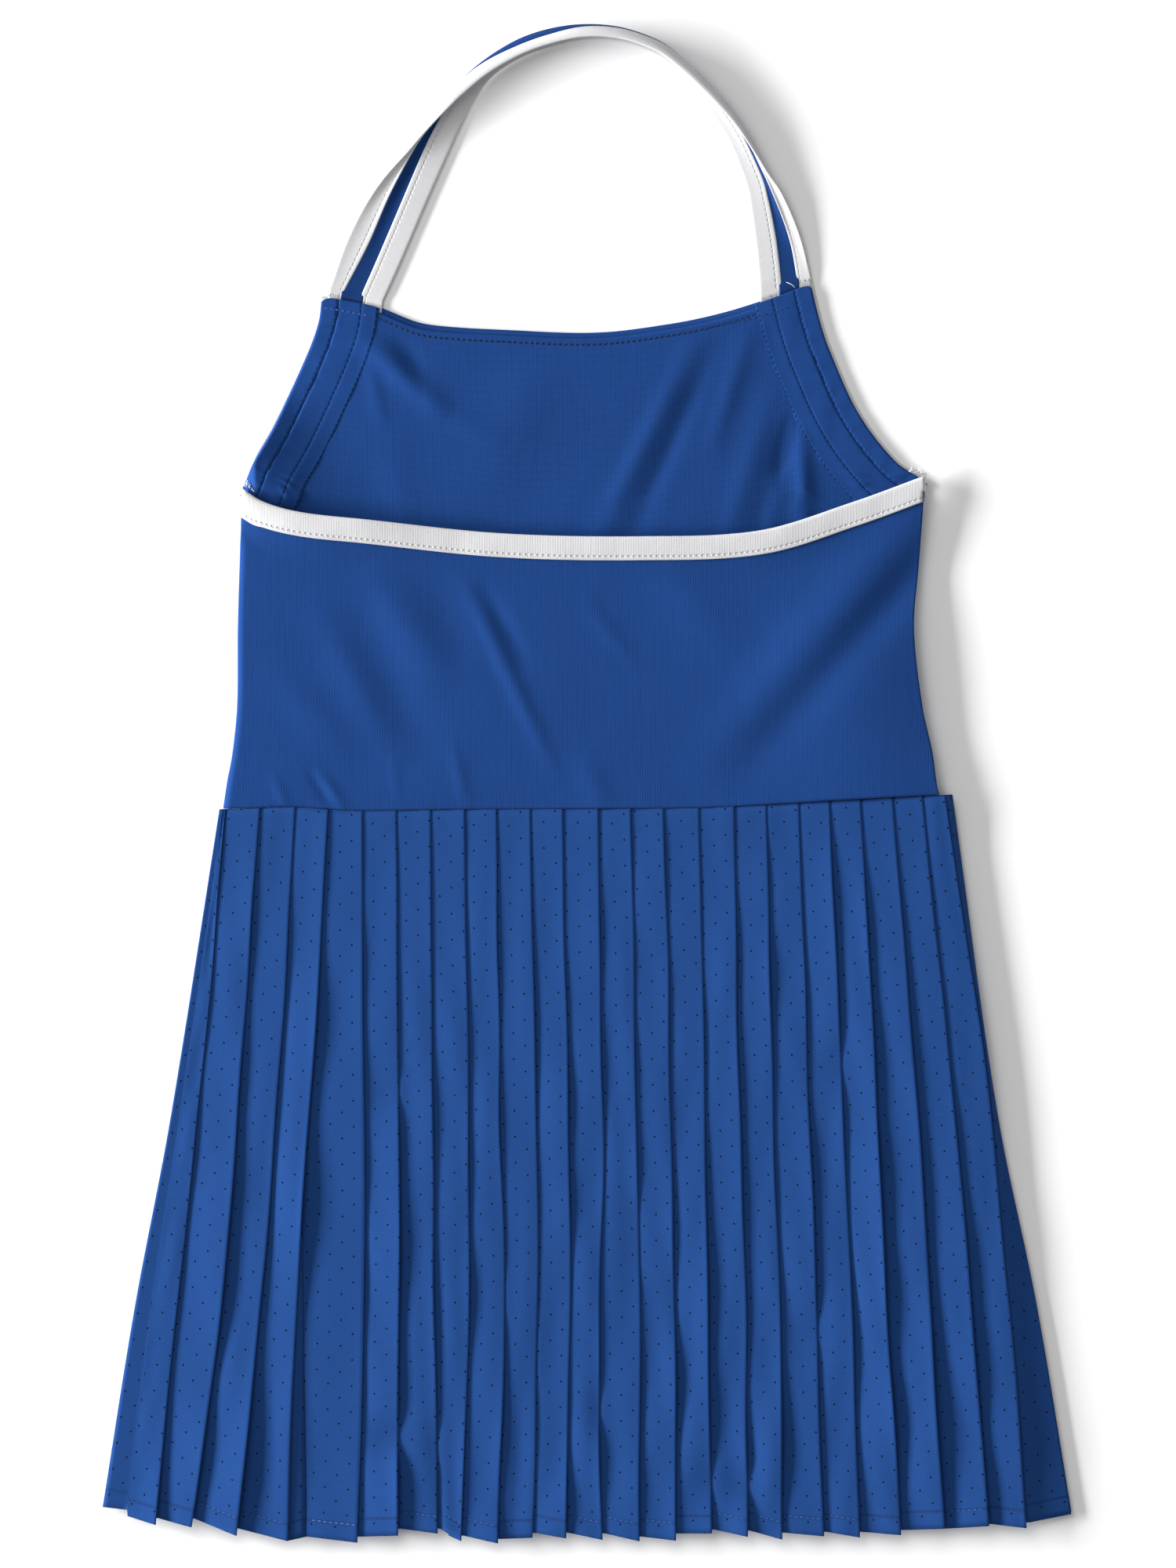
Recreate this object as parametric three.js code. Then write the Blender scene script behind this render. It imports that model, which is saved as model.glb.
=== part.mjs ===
// Halter tennis dress, laid flat with its back up. Millimetres: X across, Y towards the neck, Z up.
import { BufferAttribute, BufferGeometry, CatmullRomCurve3, Group, Mesh, MeshStandardMaterial, Vector3 } from "three";

// Cloth
const wall = 1;
const halfWall = wall / 2;
const seamGap = 0.3;
const halfSeam = seamGap / 2;
const layer = wall + seamGap;
const bindingWidth = 10.3;
const bindingHalfWall = 0.6;
const edgeHalfWall = 0.25;

// Heights of each layer's middle above the surface
const frontZ = halfWall;
const liningZ = frontZ + layer;
const facingZ = liningZ + layer;
const backZ = facingZ + layer;
const sideZ = liningZ;
const waistRise = 2.2;
const waistRiseReach = 26;
const bindingLift = { from: 96, to: 108 };

// Pleats
const pleatDepth = 8;
const pleatShare = 0.6;
const pleatStep = 1.4;
const backSkirtZ = 4.5;
const returnRoom = 1.6;
const sideStep = 0.4;
const frontPleats = 22;
const frontPleatDepth = 6;
const frontHem = { middle: -326, cornerRise: 1, cornerPower: 6, edgeInset: 0.3 };
const backRows = [0, 0.1, 0.22, 0.35, 0.48, 0.6, 0.72, 0.86, 1];
const frontRows = [0, 0.33, 0.68, 1];

// Side seams of the bodice, from the waist up
const sides = [
  { y: -11, left: -160.2, right: 156.4 },
  { y: 0, left: -158.6, right: 153.8 },
  { y: 13, left: -156.2, right: 152 },
  { y: 34, left: -154.1, right: 147.5 },
  { y: 68, left: -153.8, right: 143.8 },
  { y: 96, left: -153, right: 145.9 },
  { y: 124, left: -152.2, right: 148 },
  { y: 138, left: -152.4, right: 149 },
];

// Where the back's top edge meets the side seams
const underarm = { left: -152.2, right: 148.7 };

// Waist seam, across the dress
const waist = [
  { x: -163, y: -11 },
  { x: -106, y: -11.8 },
  { x: 0, y: -11 },
  { x: 60, y: -10.3 },
  { x: 110, y: -7.8 },
  { x: 161, y: -5.3 },
];

// Neckline of the front, across the dress
const neck = [
  { x: -125, y: 215.6 },
  { x: -109, y: 213.4 },
  { x: -93, y: 210 },
  { x: -75, y: 203 },
  { x: -62, y: 201 },
  { x: -38, y: 199.6 },
  { x: 4, y: 198.3 },
  { x: 38, y: 202.4 },
  { x: 59, y: 206.9 },
  { x: 77, y: 212.4 },
  { x: 92, y: 217.9 },
  { x: 106, y: 224 },
];
const liningDrop = 2.4;

// Top edge of the binding on the back, across the dress
const backTop = [
  { x: -154, y: 131 },
  { x: -142.8, y: 123.8 },
  { x: -125.9, y: 119 },
  { x: -98.3, y: 115.9 },
  { x: -37.6, y: 109.7 },
  { x: 25, y: 108.4 },
  { x: 76, y: 111 },
  { x: 117, y: 123.5 },
  { x: 150, y: 135.6 },
];

// Armhole edges, from above the shoulder to beyond the side seam
const armholes = {
  left: [
    { x: -116.6, y: 226 },
    { x: -118, y: 212 },
    { x: -119.2, y: 203 },
    { x: -124.2, y: 189 },
    { x: -138.6, y: 158 },
    { x: -148.2, y: 141 },
    { x: -152, y: 131.5 },
    { x: -160, y: 114 },
  ],
  right: [
    { x: 97, y: 230 },
    { x: 99.6, y: 218.6 },
    { x: 103.4, y: 203.2 },
    { x: 107.5, y: 191 },
    { x: 120, y: 163.6 },
    { x: 136, y: 142.6 },
    { x: 149, y: 133.6 },
    { x: 163, y: 120 },
  ],
};
const rimShows = 1.1;
const facingWidths = { inner: 8.6, middle: 18.8, outer: 25.8 };
const facingRoll = { inset: 1.4, drop: 0.5, level: 5 };
const facingTopDrop = 0.6;
const bandCrown = 0.2;
const bindingSections = 14;
const facingSections = 12;

// Soft folds in the back bodice: a ridge from one end to the other
const backCreases = [
  { x0: -49, y0: 81, x1: -12, y1: 6, height: 1.2, reach: 6 },
  { x0: 136, y0: 90, x1: 70, y1: 24, height: -0.9, reach: 14 },
  { x0: -111, y0: 85, x1: -84, y1: 28, height: 0.9, reach: 9 },
  { x0: 40, y0: 70, x1: 66, y1: 20, height: 0.8, reach: 12 },
];

// Upper folds of the back skirt: x at four shares of its length, and the hem's y where the panel starts and ends
const foldShares = [0, 0.447, 0.71, 1];
const folds = [
  { x: [-162, -183.8, -199.1, -213.4], hemStart: -318.4, hemEnd: -318.4 },
  { x: [-159.2, -171.7, -180.7, -190], hemStart: -318.4, hemEnd: -326.1 },
  { x: [-144.1, -154.1, -161.7, -174.1], hemStart: -323.3, hemEnd: -327.2 },
  { x: [-128.6, -136.9, -144.5, -154.5], hemStart: -323.4, hemEnd: -330.9 },
  { x: [-114, -122.8, -128.6, -132.1], hemStart: -327.9, hemEnd: -333.3 },
  { x: [-99, -98.6, -98.3, -101.4], hemStart: -331.4, hemEnd: -334 },
  { x: [-84.1, -82.8, -82.8, -83.2], hemStart: -331.4, hemEnd: -330.9 },
  { x: [-69, -67.9, -66.6, -66.6], hemStart: -327.9, hemEnd: -330 },
  { x: [-54.1, -52.4, -51.7, -55.5], hemStart: -327.9, hemEnd: -333.3 },
  { x: [-40, -37.9, -36.6, -39.3], hemStart: -331, hemEnd: -334.3 },
  { x: [-25.2, -22.4, -21.4, -23.8], hemStart: -332.4, hemEnd: -331.9 },
  { x: [-10.9, -8.3, -7.6, -9.3], hemStart: -329.7, hemEnd: -332.1 },
  { x: [4.8, 6.9, 5.5, 6.6], hemStart: -329.7, hemEnd: -332.8 },
  { x: [19, 22.1, 22.8, 22.8], hemStart: -330, hemEnd: -333.4 },
  { x: [33.4, 36.9, 38.3, 39], hemStart: -331.4, hemEnd: -333.1 },
  { x: [49, 52.1, 53.1, 54.8], hemStart: -330, hemEnd: -330 },
  { x: [64.5, 67.2, 69.7, 70], hemStart: -328.3, hemEnd: -331.4 },
  { x: [78.6, 82.4, 84.8, 86.2], hemStart: -328.8, hemEnd: -332.6 },
  { x: [92.9, 97.9, 101.4, 103.4], hemStart: -329.7, hemEnd: -331.2 },
  { x: [106.4, 112.8, 116.9, 119.3], hemStart: -329.3, hemEnd: -331.7 },
  { x: [120, 128.3, 132.1, 138.3], hemStart: -329.3, hemEnd: -330.7 },
  { x: [134.1, 145.9, 150.7, 156.9], hemStart: -328.5, hemEnd: -327.9 },
  { x: [147.2, 162.1, 169.3, 176.6], hemStart: -327.9, hemEnd: -326.7 },
  { x: [157.2, 178.3, 185.9, 193.4], hemStart: -325.9, hemEnd: -327.6 },
  { x: [161, 181, 198, 213.4], hemStart: -325.2, hemEnd: -321.6 },
];

// The halter strap. Each row is a section square to the strap: the strap's outline in plan, the direction towards
// the middle of the loop, how far in each seam lies, and how high. free: outer binding's free edge, outer: its seam
// with the web, inner: the web's seam with the inner binding, low: the inner binding's free edge.
const strapRows = [
  { x: -114.8, y: 215.5, turn: -12, low: 24.7, inner: 14.3, outer: 6.8, free: 0.6, innerZ: 0.8, outerZ: 0.8, freeZ: 1 },
  { x: -105.5, y: 241.4, turn: -25, low: 26.5, inner: 16, outer: 10.4, free: 0.6, innerZ: 0.9, outerZ: 1.6, freeZ: 3.5 },
  { x: -92.8, y: 263.8, turn: -33, low: 24, inner: 13.3, outer: 7.8, free: 0.8, innerZ: 1.2, outerZ: 4.5, freeZ: 9 },
  { x: -77.2, y: 284.1, turn: -38, low: 18.1, inner: 7, outer: 3.8, free: 3, innerZ: 2, outerZ: 7.5, freeZ: 13 },
  { x: -67.9, y: 295.9, turn: -40, low: 14.5, inner: 4, outer: 2.8, free: 4.2, innerZ: 2.8, outerZ: 8.4, freeZ: 14 },
  { x: -59, y: 307.1, turn: -43, low: 11.7, inner: 2.2, outer: 1.2, free: 6, innerZ: 3.6, outerZ: 9, freeZ: 14.5 },
  { x: -46.9, y: 317.9, turn: -53, low: 8.6, inner: 1, outer: 1.8, free: 6.7, innerZ: 4.4, outerZ: 9.4, freeZ: 14.8 },
  { x: -31.7, y: 327.2, turn: -65, low: 8.3, inner: 0.6, outer: 3.4, free: 7.3, innerZ: 5, outerZ: 9.8, freeZ: 15 },
  { x: -16.6, y: 332.4, turn: -78, low: 8.3, inner: 0.6, outer: 3.3, free: 7.2, innerZ: 5, outerZ: 9.8, freeZ: 15 },
  { x: -1.4, y: 334.3, turn: -90, low: 7.2, inner: 0.6, outer: 1.9, free: 6.2, innerZ: 5, outerZ: 9.8, freeZ: 15 },
  { x: 14.1, y: 333.1, turn: -99, low: 6.6, inner: 0.6, outer: 1.4, free: 5.6, innerZ: 5, outerZ: 9.8, freeZ: 15 },
  { x: 29, y: 328.3, turn: -113, low: 6.4, inner: 0.6, outer: 1.2, free: 5.2, innerZ: 4.6, outerZ: 9.4, freeZ: 14.6 },
  { x: 39, y: 322.2, turn: -128, low: 6.4, inner: 0.8, outer: 1, free: 5, innerZ: 4.2, outerZ: 8.8, freeZ: 14.2 },
  { x: 53.1, y: 309, turn: -137, low: 7.4, inner: 1.6, outer: 1, free: 4.6, innerZ: 3.4, outerZ: 8, freeZ: 13.4 },
  { x: 68.3, y: 291, turn: -144, low: 9.2, inner: 2.6, outer: 1.8, free: 3.6, innerZ: 2.6, outerZ: 6.6, freeZ: 12 },
  { x: 80, y: 270.7, turn: -149, low: 12.2, inner: 4, outer: 3.4, free: 2, innerZ: 2, outerZ: 5.4, freeZ: 10 },
  { x: 86.2, y: 261, turn: -152, low: 16.3, inner: 7.2, outer: 5.2, free: 1.2, innerZ: 1.5, outerZ: 4.2, freeZ: 8 },
  { x: 92.1, y: 247.6, turn: -158, low: 20, inner: 10.1, outer: 5.8, free: 0.8, innerZ: 1.1, outerZ: 2.6, freeZ: 5.5 },
  { x: 95.9, y: 236.2, turn: -162, low: 22.2, inner: 12.1, outer: 6.2, free: 0.6, innerZ: 0.9, outerZ: 1.6, freeZ: 3 },
  { x: 99.3, y: 221.7, turn: -161, low: 24.5, inner: 14, outer: 7.2, free: 0.6, innerZ: 0.8, outerZ: 0.8, freeZ: 1 },
];
const strapFloorZ = 0.8;
const webWidth = 7.5;
const strapBulge = 0.7;
const strapTrim = 0.4;
const strapSteps = 2;

// The finish of each cloth
const bodiceKnit = { color: 0x24508f, roughness: 0.85, metalness: 0 };
const skirtCloth = { color: 0x2c57a4, roughness: 0.8, metalness: 0 };
const whiteBinding = { color: 0xe6e6e9, roughness: 0.75, metalness: 0 };

const mix = (a, b, share) => a + (b - a) * share;
const clamp = (value, low, high) => Math.min(Math.max(value, low), high);
const ease = (share) => share * share * (3 - 2 * share);

// Smooth curve through (knots, values): a cubic between each two knots, its slopes taken from their neighbours.
function smoothThrough(knots, values, at) {
  const last = knots.length - 1;
  const place = clamp(at, knots[0], knots[last]);
  const i = Math.min(last - 1, knots.findLastIndex((knot) => knot <= place));
  const span = knots[i + 1] - knots[i];
  const slope = (k) => {
    const before = Math.max(k - 1, 0);
    const after = Math.min(k + 1, last);
    return (values[after] - values[before]) / (knots[after] - knots[before]);
  };
  const t = (place - knots[i]) / span;
  const start = values[i] * (1 + 2 * t) * (1 - t) ** 2 + slope(i) * span * t * (1 - t) ** 2;
  return start + values[i + 1] * t * t * (3 - 2 * t) + slope(i + 1) * span * t * t * (t - 1);
}

const column = (rows, key) => rows.map((row) => row[key]);
const along = (rows, axis, key) => (at) => smoothThrough(column(rows, axis), column(rows, key), at);
const sideLeft = along(sides, "y", "left");
const sideRight = along(sides, "y", "right");
const waistY = along(waist, "x", "y");
const neckY = along(neck, "x", "y");
const backTopY = along(backTop, "x", "y");

// Both faces of a wall through a section's points {a, z, half}: each point moved square to the middle line by half
// the wall, mitred where the line turns.
function wallFaces(points) {
  const across = (from, to) => {
    const length = Math.hypot(to.a - from.a, to.z - from.z);
    return { a: -(to.z - from.z) / length, z: (to.a - from.a) / length };
  };
  return points.map((point, i) => {
    const first = i > 0 ? across(points[i - 1], point) : across(point, points[1]);
    const second = i < points.length - 1 ? across(point, points[i + 1]) : first;
    const mitre = point.half / (1 + first.a * second.a + first.z * second.z);
    const shift = { a: (first.a + second.a) * mitre, z: (first.z + second.z) * mitre };
    return [
      { a: point.a + shift.a, z: point.z + shift.z },
      { a: point.a - shift.a, z: point.z - shift.z },
    ];
  });
}

// A closed wall from rows of point pairs, one pair for each side of the cloth.
function closedWall(rows) {
  const count = rows[0].length;
  const positions = rows.flat(3);
  const at = (row, item, side) => (row * count + item) * 2 + side;
  const triangles = [];
  const quad = (a, b, c, d) => triangles.push(a, b, c, a, c, d);
  for (let r = 0; r < rows.length - 1; r += 1) {
    for (let c = 0; c < count - 1; c += 1) {
      quad(at(r, c, 0), at(r, c + 1, 0), at(r + 1, c + 1, 0), at(r + 1, c, 0));
      quad(at(r, c, 1), at(r + 1, c, 1), at(r + 1, c + 1, 1), at(r, c + 1, 1));
    }
    quad(at(r, 0, 0), at(r + 1, 0, 0), at(r + 1, 0, 1), at(r, 0, 1));
    quad(at(r, count - 1, 0), at(r, count - 1, 1), at(r + 1, count - 1, 1), at(r + 1, count - 1, 0));
  }
  const end = rows.length - 1;
  for (let c = 0; c < count - 1; c += 1) {
    quad(at(0, c, 0), at(0, c, 1), at(0, c + 1, 1), at(0, c + 1, 0));
    quad(at(end, c, 0), at(end, c + 1, 0), at(end, c + 1, 1), at(end, c, 1));
  }
  return outwardGeometry(positions, triangles);
}

// Turns the triangles over when the volume that they enclose comes out negative.
function outwardGeometry(positions, triangles) {
  const corner = (index) => new Vector3().fromArray(positions, index * 3);
  let volume = 0;
  for (let i = 0; i < triangles.length; i += 3) {
    volume += corner(triangles[i]).dot(corner(triangles[i + 1]).cross(corner(triangles[i + 2])));
  }
  const ordered = volume < 0 ? triangles.toReversed() : triangles;
  const geometry = new BufferGeometry();
  geometry.setAttribute("position", new BufferAttribute(new Float32Array(positions), 3));
  geometry.setIndex(ordered);
  geometry.computeVertexNormals();
  return geometry;
}

// A wall whose sections run across the dress: rows of {a: x, z, half, y}.
function crosswiseWall(rows) {
  const paired = rows.map((points) =>
    wallFaces(points).map((pair, i) => pair.map((face) => [face.a, points[i].y, face.z])),
  );
  return closedWall(paired);
}

// A wall whose sections stand on a path: each section has a foot {x, y}, a direction and points {a, z, half}.
function pathWall(sections) {
  const rows = sections.map(({ foot, dx, dy, points, yAt }) =>
    wallFaces(points).map((pair) =>
      pair.map(({ a, z }) => {
        const x = foot.x + dx * a;
        return [x, yAt ? yAt(x) : foot.y + dy * a, z];
      }),
    ),
  );
  return closedWall(rows);
}

// Points of an armhole edge moved in by a width, from where they pass one limit to where they pass the other.
function armholeStrand(side, inset, isBelowTop, isAboveEnd, count) {
  const samples = 400;
  const rail = new CatmullRomCurve3(armholes[side].map(({ x, y }) => new Vector3(x, y, 0)), false, "centripetal");
  const inward = side === "left" ? 1 : -1;
  const points = [];
  for (let i = 0; i <= samples; i += 1) {
    const point = rail.getPointAt(i / samples);
    const tangent = rail.getTangentAt(i / samples);
    const moved = { x: point.x - tangent.y * inward * inset, y: point.y + tangent.x * inward * inset };
    if (isBelowTop(moved) && isAboveEnd(moved)) points.push(moved);
  }
  return Array.from({ length: count }, (_, i) => points[Math.round((i * (points.length - 1)) / (count - 1))]);
}

const belowNeck = (drop) => ({ x, y }) => y < neckY(x) - drop;
const aboveBack = ({ x, y }) => y > backTopY(x) + 3 * seamGap;
const insideSides = ({ x, y }) => x > sideLeft(y) && x < sideRight(y);

// A strip of cloth along an armhole, between two insets, at the heights given for each inset.
function armholeStrip(side, profile, topDrop, isAboveEnd, count) {
  const strands = profile.map(({ inset }) => armholeStrand(side, inset, belowNeck(topDrop), isAboveEnd, count));
  const rows = Array.from({ length: count }, (_, row) =>
    profile.map(({ z }, k) => {
      const { x, y } = strands[k][row];
      return [[x, y, z + halfWall], [x, y, z - halfWall]];
    }),
  );
  return closedWall(rows);
}

// A flat panel of the bodice between a left and a right edge. Its rows bend down to the neckline near the top.
function bodicePanel(leftEdge, rightEdge, columns, z, topDrop) {
  const last = leftEdge.length - 1;
  const rows = leftEdge.map((left, i) => {
    const right = rightEdge[i];
    const share = clamp((left.y - leftEdge[last].y / 2) / (leftEdge[last].y / 2), 0, 1) ** 2;
    return Array.from({ length: columns + 1 }, (_, c) => {
      const u = c / columns;
      const x = mix(left.x, right.x, u);
      const topX = mix(leftEdge[last].x, rightEdge[last].x, u);
      const dip = mix(leftEdge[last].y, rightEdge[last].y, u) - (neckY(topX) - topDrop);
      const low = mix(left.y, right.y, u) - mix(leftEdge[0].y, rightEdge[0].y, u);
      const floor = waistY(x) + halfSeam;
      const y = i === 0 ? floor : floor + low - share * dip;
      return [[x, y, z + halfWall], [x, y, z - halfWall]];
    });
  });
  return closedWall(rows);
}

// An edge of the front: up the side seam, then up an armhole strand.
function frontEdge(side, sideInset, strandInset, topDrop, isAboveEnd) {
  const sideX = side === "left" ? sideLeft : sideRight;
  const inward = side === "left" ? 1 : -1;
  const sideRows = 6;
  const strandRows = 9;
  const strand = armholeStrand(side, strandInset, belowNeck(topDrop), isAboveEnd, strandRows).reverse();
  const start = waistY(sideX(0)) + halfSeam;
  const top = strand[0].y - sideInset - seamGap;
  const lower = Array.from({ length: sideRows }, (_, i) => {
    const y = mix(start, top, i / (sideRows - 1));
    return { x: sideX(y) + inward * sideInset, y };
  });
  return [...lower, ...strand];
}

const frontSideInset = 0.2;
const liningSideInset = 9;
const liningStrandInset = 5;
const frontColumns = 12;

function frontBodice() {
  const strandInset = bindingWidth + 2 * seamGap;
  const left = frontEdge("left", frontSideInset, strandInset, 0, insideSides);
  const right = frontEdge("right", frontSideInset, strandInset, 0, insideSides);
  return bodicePanel(left, right, frontColumns, frontZ, 0);
}

function frontLining() {
  const left = frontEdge("left", liningSideInset, liningStrandInset, liningDrop, aboveBack);
  const right = frontEdge("right", liningSideInset, liningStrandInset, liningDrop, aboveBack);
  return bodicePanel(left, right, frontColumns, liningZ, liningDrop);
}

// White binding round the armhole, flush with the front's outer face.
function armholeBinding(side) {
  const profile = [{ inset: 0, z: frontZ }, { inset: bindingWidth, z: frontZ }];
  return armholeStrip(side, profile, 0, insideSides, bindingSections);
}

// The turned-in facing: its edge rolls down to the binding at the armhole.
function armholeFacing(side) {
  const profile = [
    { inset: rimShows, z: frontZ + layer },
    { inset: rimShows + facingRoll.inset, z: facingZ - facingRoll.drop },
    { inset: facingRoll.level, z: facingZ },
    { inset: facingWidths.inner - halfSeam, z: facingZ },
  ];
  return armholeStrip(side, profile, facingTopDrop, aboveBack, facingSections);
}

// The wide band beside the facing: two low crowns between its rows of stitches.
function armholeBand(side) {
  const { inner, middle, outer } = facingWidths;
  const profile = [
    { inset: inner + halfSeam, z: facingZ },
    { inset: mix(inner, middle, 0.5), z: facingZ + bandCrown },
    { inset: middle, z: facingZ },
    { inset: mix(middle, outer, 0.5), z: facingZ + bandCrown },
    { inset: outer, z: facingZ },
  ];
  return armholeStrip(side, profile, facingTopDrop, aboveBack, facingSections);
}

// Height that the back's soft folds add at a place: a bell across each fold that fades towards its ends.
function creaseHeight(x, y) {
  return backCreases.reduce((sum, { x0, y0, x1, y1, height, reach }) => {
    const length = Math.hypot(x1 - x0, y1 - y0);
    const dx = (x1 - x0) / length;
    const dy = (y1 - y0) / length;
    const share = ((x - x0) * dx + (y - y0) * dy) / length;
    const away = (x - x0) * dy - (y - y0) * dx;
    const fade = share > 0 && share < 1 ? Math.sin(Math.PI * share) : 0;
    return sum + height * fade * Math.exp(-((away / reach) ** 2));
  }, 0);
}

// The back's middle height: level over the front, rolled down to it at the side seams, higher at the waist.
function backHeight(x, y) {
  const inset = Math.min(x - sideLeft(y), sideRight(y) - x);
  const roll = Math.sqrt(1 - (1 - clamp((inset - backEdgeInsets[0]) / backRollWidth, 0, 1)) ** 2);
  const lift = ease(clamp((y - bindingLift.from) / (bindingLift.to - bindingLift.from), 0, 1));
  const edge = mix(sideZ, sideZ + layer, lift);
  const rise = waistRise * ease(clamp(1 - (y - waistY(x)) / waistRiseReach, 0, 1));
  return mix(edge, backZ + rise + creaseHeight(x, y) * roll, roll);
}

const backEdgeInsets = [0.3, 1.3, 3.4, 8];
const backRollWidth = 7.7;
const backInnerColumns = 13;
const backPanelRows = [0, 0.06, 0.14, 0.25, 0.37, 0.49, 0.61, 0.73, 0.84, 0.93, 1];
const backPanelUnderBinding = 1.8;

// Places across the back: close together where it rolls down at each side.
function backColumns(left, right) {
  const inner = Array.from({ length: backInnerColumns }, (_, i) =>
    mix(left + backEdgeInsets.at(-1), right - backEdgeInsets.at(-1), (i + 1) / (backInnerColumns + 1)),
  );
  const near = backEdgeInsets.map((inset) => left + inset);
  const far = backEdgeInsets.map((inset) => right - inset).reverse();
  return [...near, ...inner, ...far];
}

const topColumns = () => backColumns(underarm.left, underarm.right);

function backBodice() {
  const rows = backPanelRows.map((v) =>
    topColumns().map((topX, c) => {
      const topY = backTopY(topX) - backPanelUnderBinding;
      const guideY = mix(waistY(topX), topY, v);
      const x = backColumns(sideLeft(guideY), sideRight(guideY))[c];
      const y = mix(waistY(x) + halfSeam, topY, v);
      return { a: x, y, z: backHeight(x, y), half: halfWall };
    }),
  );
  return crosswiseWall(rows);
}

// White binding folded over the back's top edge: a leg under the panel, a rounded turn and a leg on top.
function backBinding() {
  const turnIn = 1.1;
  const stations = topColumns();
  const sections = stations.map((x) => {
    const y = backTopY(x);
    const height = (a) => backHeight(x, y - a);
    const point = (a, offset) => ({ a, z: height(a) + offset, half: halfWall });
    const points = [
      point(bindingWidth, -layer),
      point(bindingWidth / 2, -layer),
      point(turnIn, -layer),
      point(halfWall, -layer / 2),
      point(halfWall, layer / 2),
      point(turnIn, layer),
      point(bindingWidth / 2, layer),
      point(bindingWidth, layer),
    ];
    return { foot: { x, y }, dx: 0, dy: -1, points };
  });
  return pathWall(sections);
}

// Back skirt: knife pleats shingled to the right. Each panel starts low under its left neighbour, climbs to its
// fold, turns back beneath itself and starts the next panel.
function skirtBack() {
  const foldX = (fold, share) => smoothThrough(foldShares, fold.x, share);
  const rows = backRows.map((share) => {
    const xs = folds.map((fold) => foldX(fold, share));
    const yAt = (x, hemY) => mix(waistY(x) - halfSeam, hemY, share);
    const lastFold = folds.length - 2;
    const depths = xs.map((x, i) => (i === 0 ? 0 : Math.min(pleatDepth, pleatShare * (x - xs[i - 1] - returnRoom))));
    const starts = xs.map((x, i) => (i < 2 ? xs[0] + halfWall : xs[i - 1] - depths[i - 1]));
    const slope = (i) => (2 * pleatStep) / (xs[i] - depths[i] - starts[i]);
    const points = [];
    const add = (x, z, hemY) => points.push({ a: x, z, half: halfWall, y: yAt(x, hemY) });
    add(xs[0] + halfWall, sideZ, folds[0].hemEnd);
    for (let i = 1; i <= lastFold; i += 1) {
      const { hemStart, hemEnd } = folds[i];
      const next = folds[i + 1].hemStart;
      const reach = xs[i] - starts[i];
      const hemAtBend = mix(hemStart, hemEnd, (reach - depths[i]) / reach);
      const nextSlope = i < lastFold ? slope(i + 1) : 0;
      const topZ = backSkirtZ + 2 * pleatStep + nextSlope * depths[i];
      if (i === 1) add(starts[i], backSkirtZ + 2 * pleatStep, hemStart);
      else add(xs[i] - depths[i], backSkirtZ + 2 * pleatStep, hemAtBend);
      add(xs[i], topZ, hemEnd);
      add(xs[i], topZ - pleatStep, hemEnd);
      add(xs[i] - depths[i], backSkirtZ + pleatStep, mix(hemEnd, next, 0.5));
      add(xs[i] - depths[i], backSkirtZ, next);
    }
    const edge = xs.at(-1) - halfWall;
    add(edge, backSkirtZ + sideStep, folds.at(-1).hemEnd);
    add(edge, sideZ, folds.at(-1).hemEnd);
    return points;
  });
  return crosswiseWall(rows);
}

// Front skirt: the same pleats seen from below. Its panels lie flat on the surface, and each fold's spare cloth is
// folded up behind them.
function skirtFront() {
  const { middle, cornerRise, cornerPower, edgeInset } = frontHem;
  const leftHem = folds[0].hemEnd + cornerRise;
  const rightHem = folds.at(-1).hemEnd + cornerRise;
  const rows = frontRows.map((share) => {
    const left = smoothThrough(foldShares, folds[0].x, share) + edgeInset;
    const right = smoothThrough(foldShares, folds.at(-1).x, share) - edgeInset;
    const hemY = (x) => {
      const u = clamp((x - left) / (right - left), 0, 1);
      const edgeShare = Math.abs(2 * u - 1) ** cornerPower;
      return mix(middle, u < 0.5 ? leftHem : rightHem, edgeShare);
    };
    const points = [];
    const add = (x, step) => {
      points.push({ a: x, z: frontZ + step * layer, half: halfWall, y: mix(waistY(x) - halfSeam, hemY(x), share) });
    };
    add(left, 0);
    const pitch = (right - left) / (frontPleats + 1);
    for (let i = 1; i <= frontPleats; i += 1) {
      const x = left + pitch * i;
      add(x - layer, 0);
      add(x - layer, 2);
      add(x + frontPleatDepth, 2);
      add(x + frontPleatDepth, 1);
      add(x, 1);
      add(x, 0);
    }
    add(right, 0);
    return points;
  });
  return crosswiseWall(rows);
}

// One section of the strap at a share of its length, with every value of its row worked out by a smooth curve.
function strapSection(place) {
  const knots = strapRows.map((_, i) => i);
  const value = (key) => smoothThrough(knots, column(strapRows, key), place);
  const turn = (value("turn") * Math.PI) / 180;
  const seam = (inset, z) => ({ a: inset, z });
  const low = seam(value("low"), strapFloorZ);
  const inner = seam(value("inner"), value("innerZ"));
  const outer = seam(value("outer"), value("outerZ"));
  const free = seam(value("free"), value("freeZ"));
  return { foot: { x: value("x"), y: value("y") }, dx: Math.cos(turn), dy: Math.sin(turn), low, inner, outer, free };
}

// The middle of a strip between two seams: pushed square to their chord, as far as the strip is wider than it.
function bulged(from, to, width) {
  const da = to.a - from.a;
  const dz = to.z - from.z;
  const chord = Math.hypot(da, dz);
  const sag = strapBulge * Math.sqrt((3 * chord * Math.max(width - chord, 0)) / 8);
  return {
    a: Math.max((from.a + to.a) / 2 - (dz / chord) * sag, bindingHalfWall),
    z: Math.max((from.z + to.z) / 2 + (da / chord) * sag, strapFloorZ),
  };
}

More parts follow.
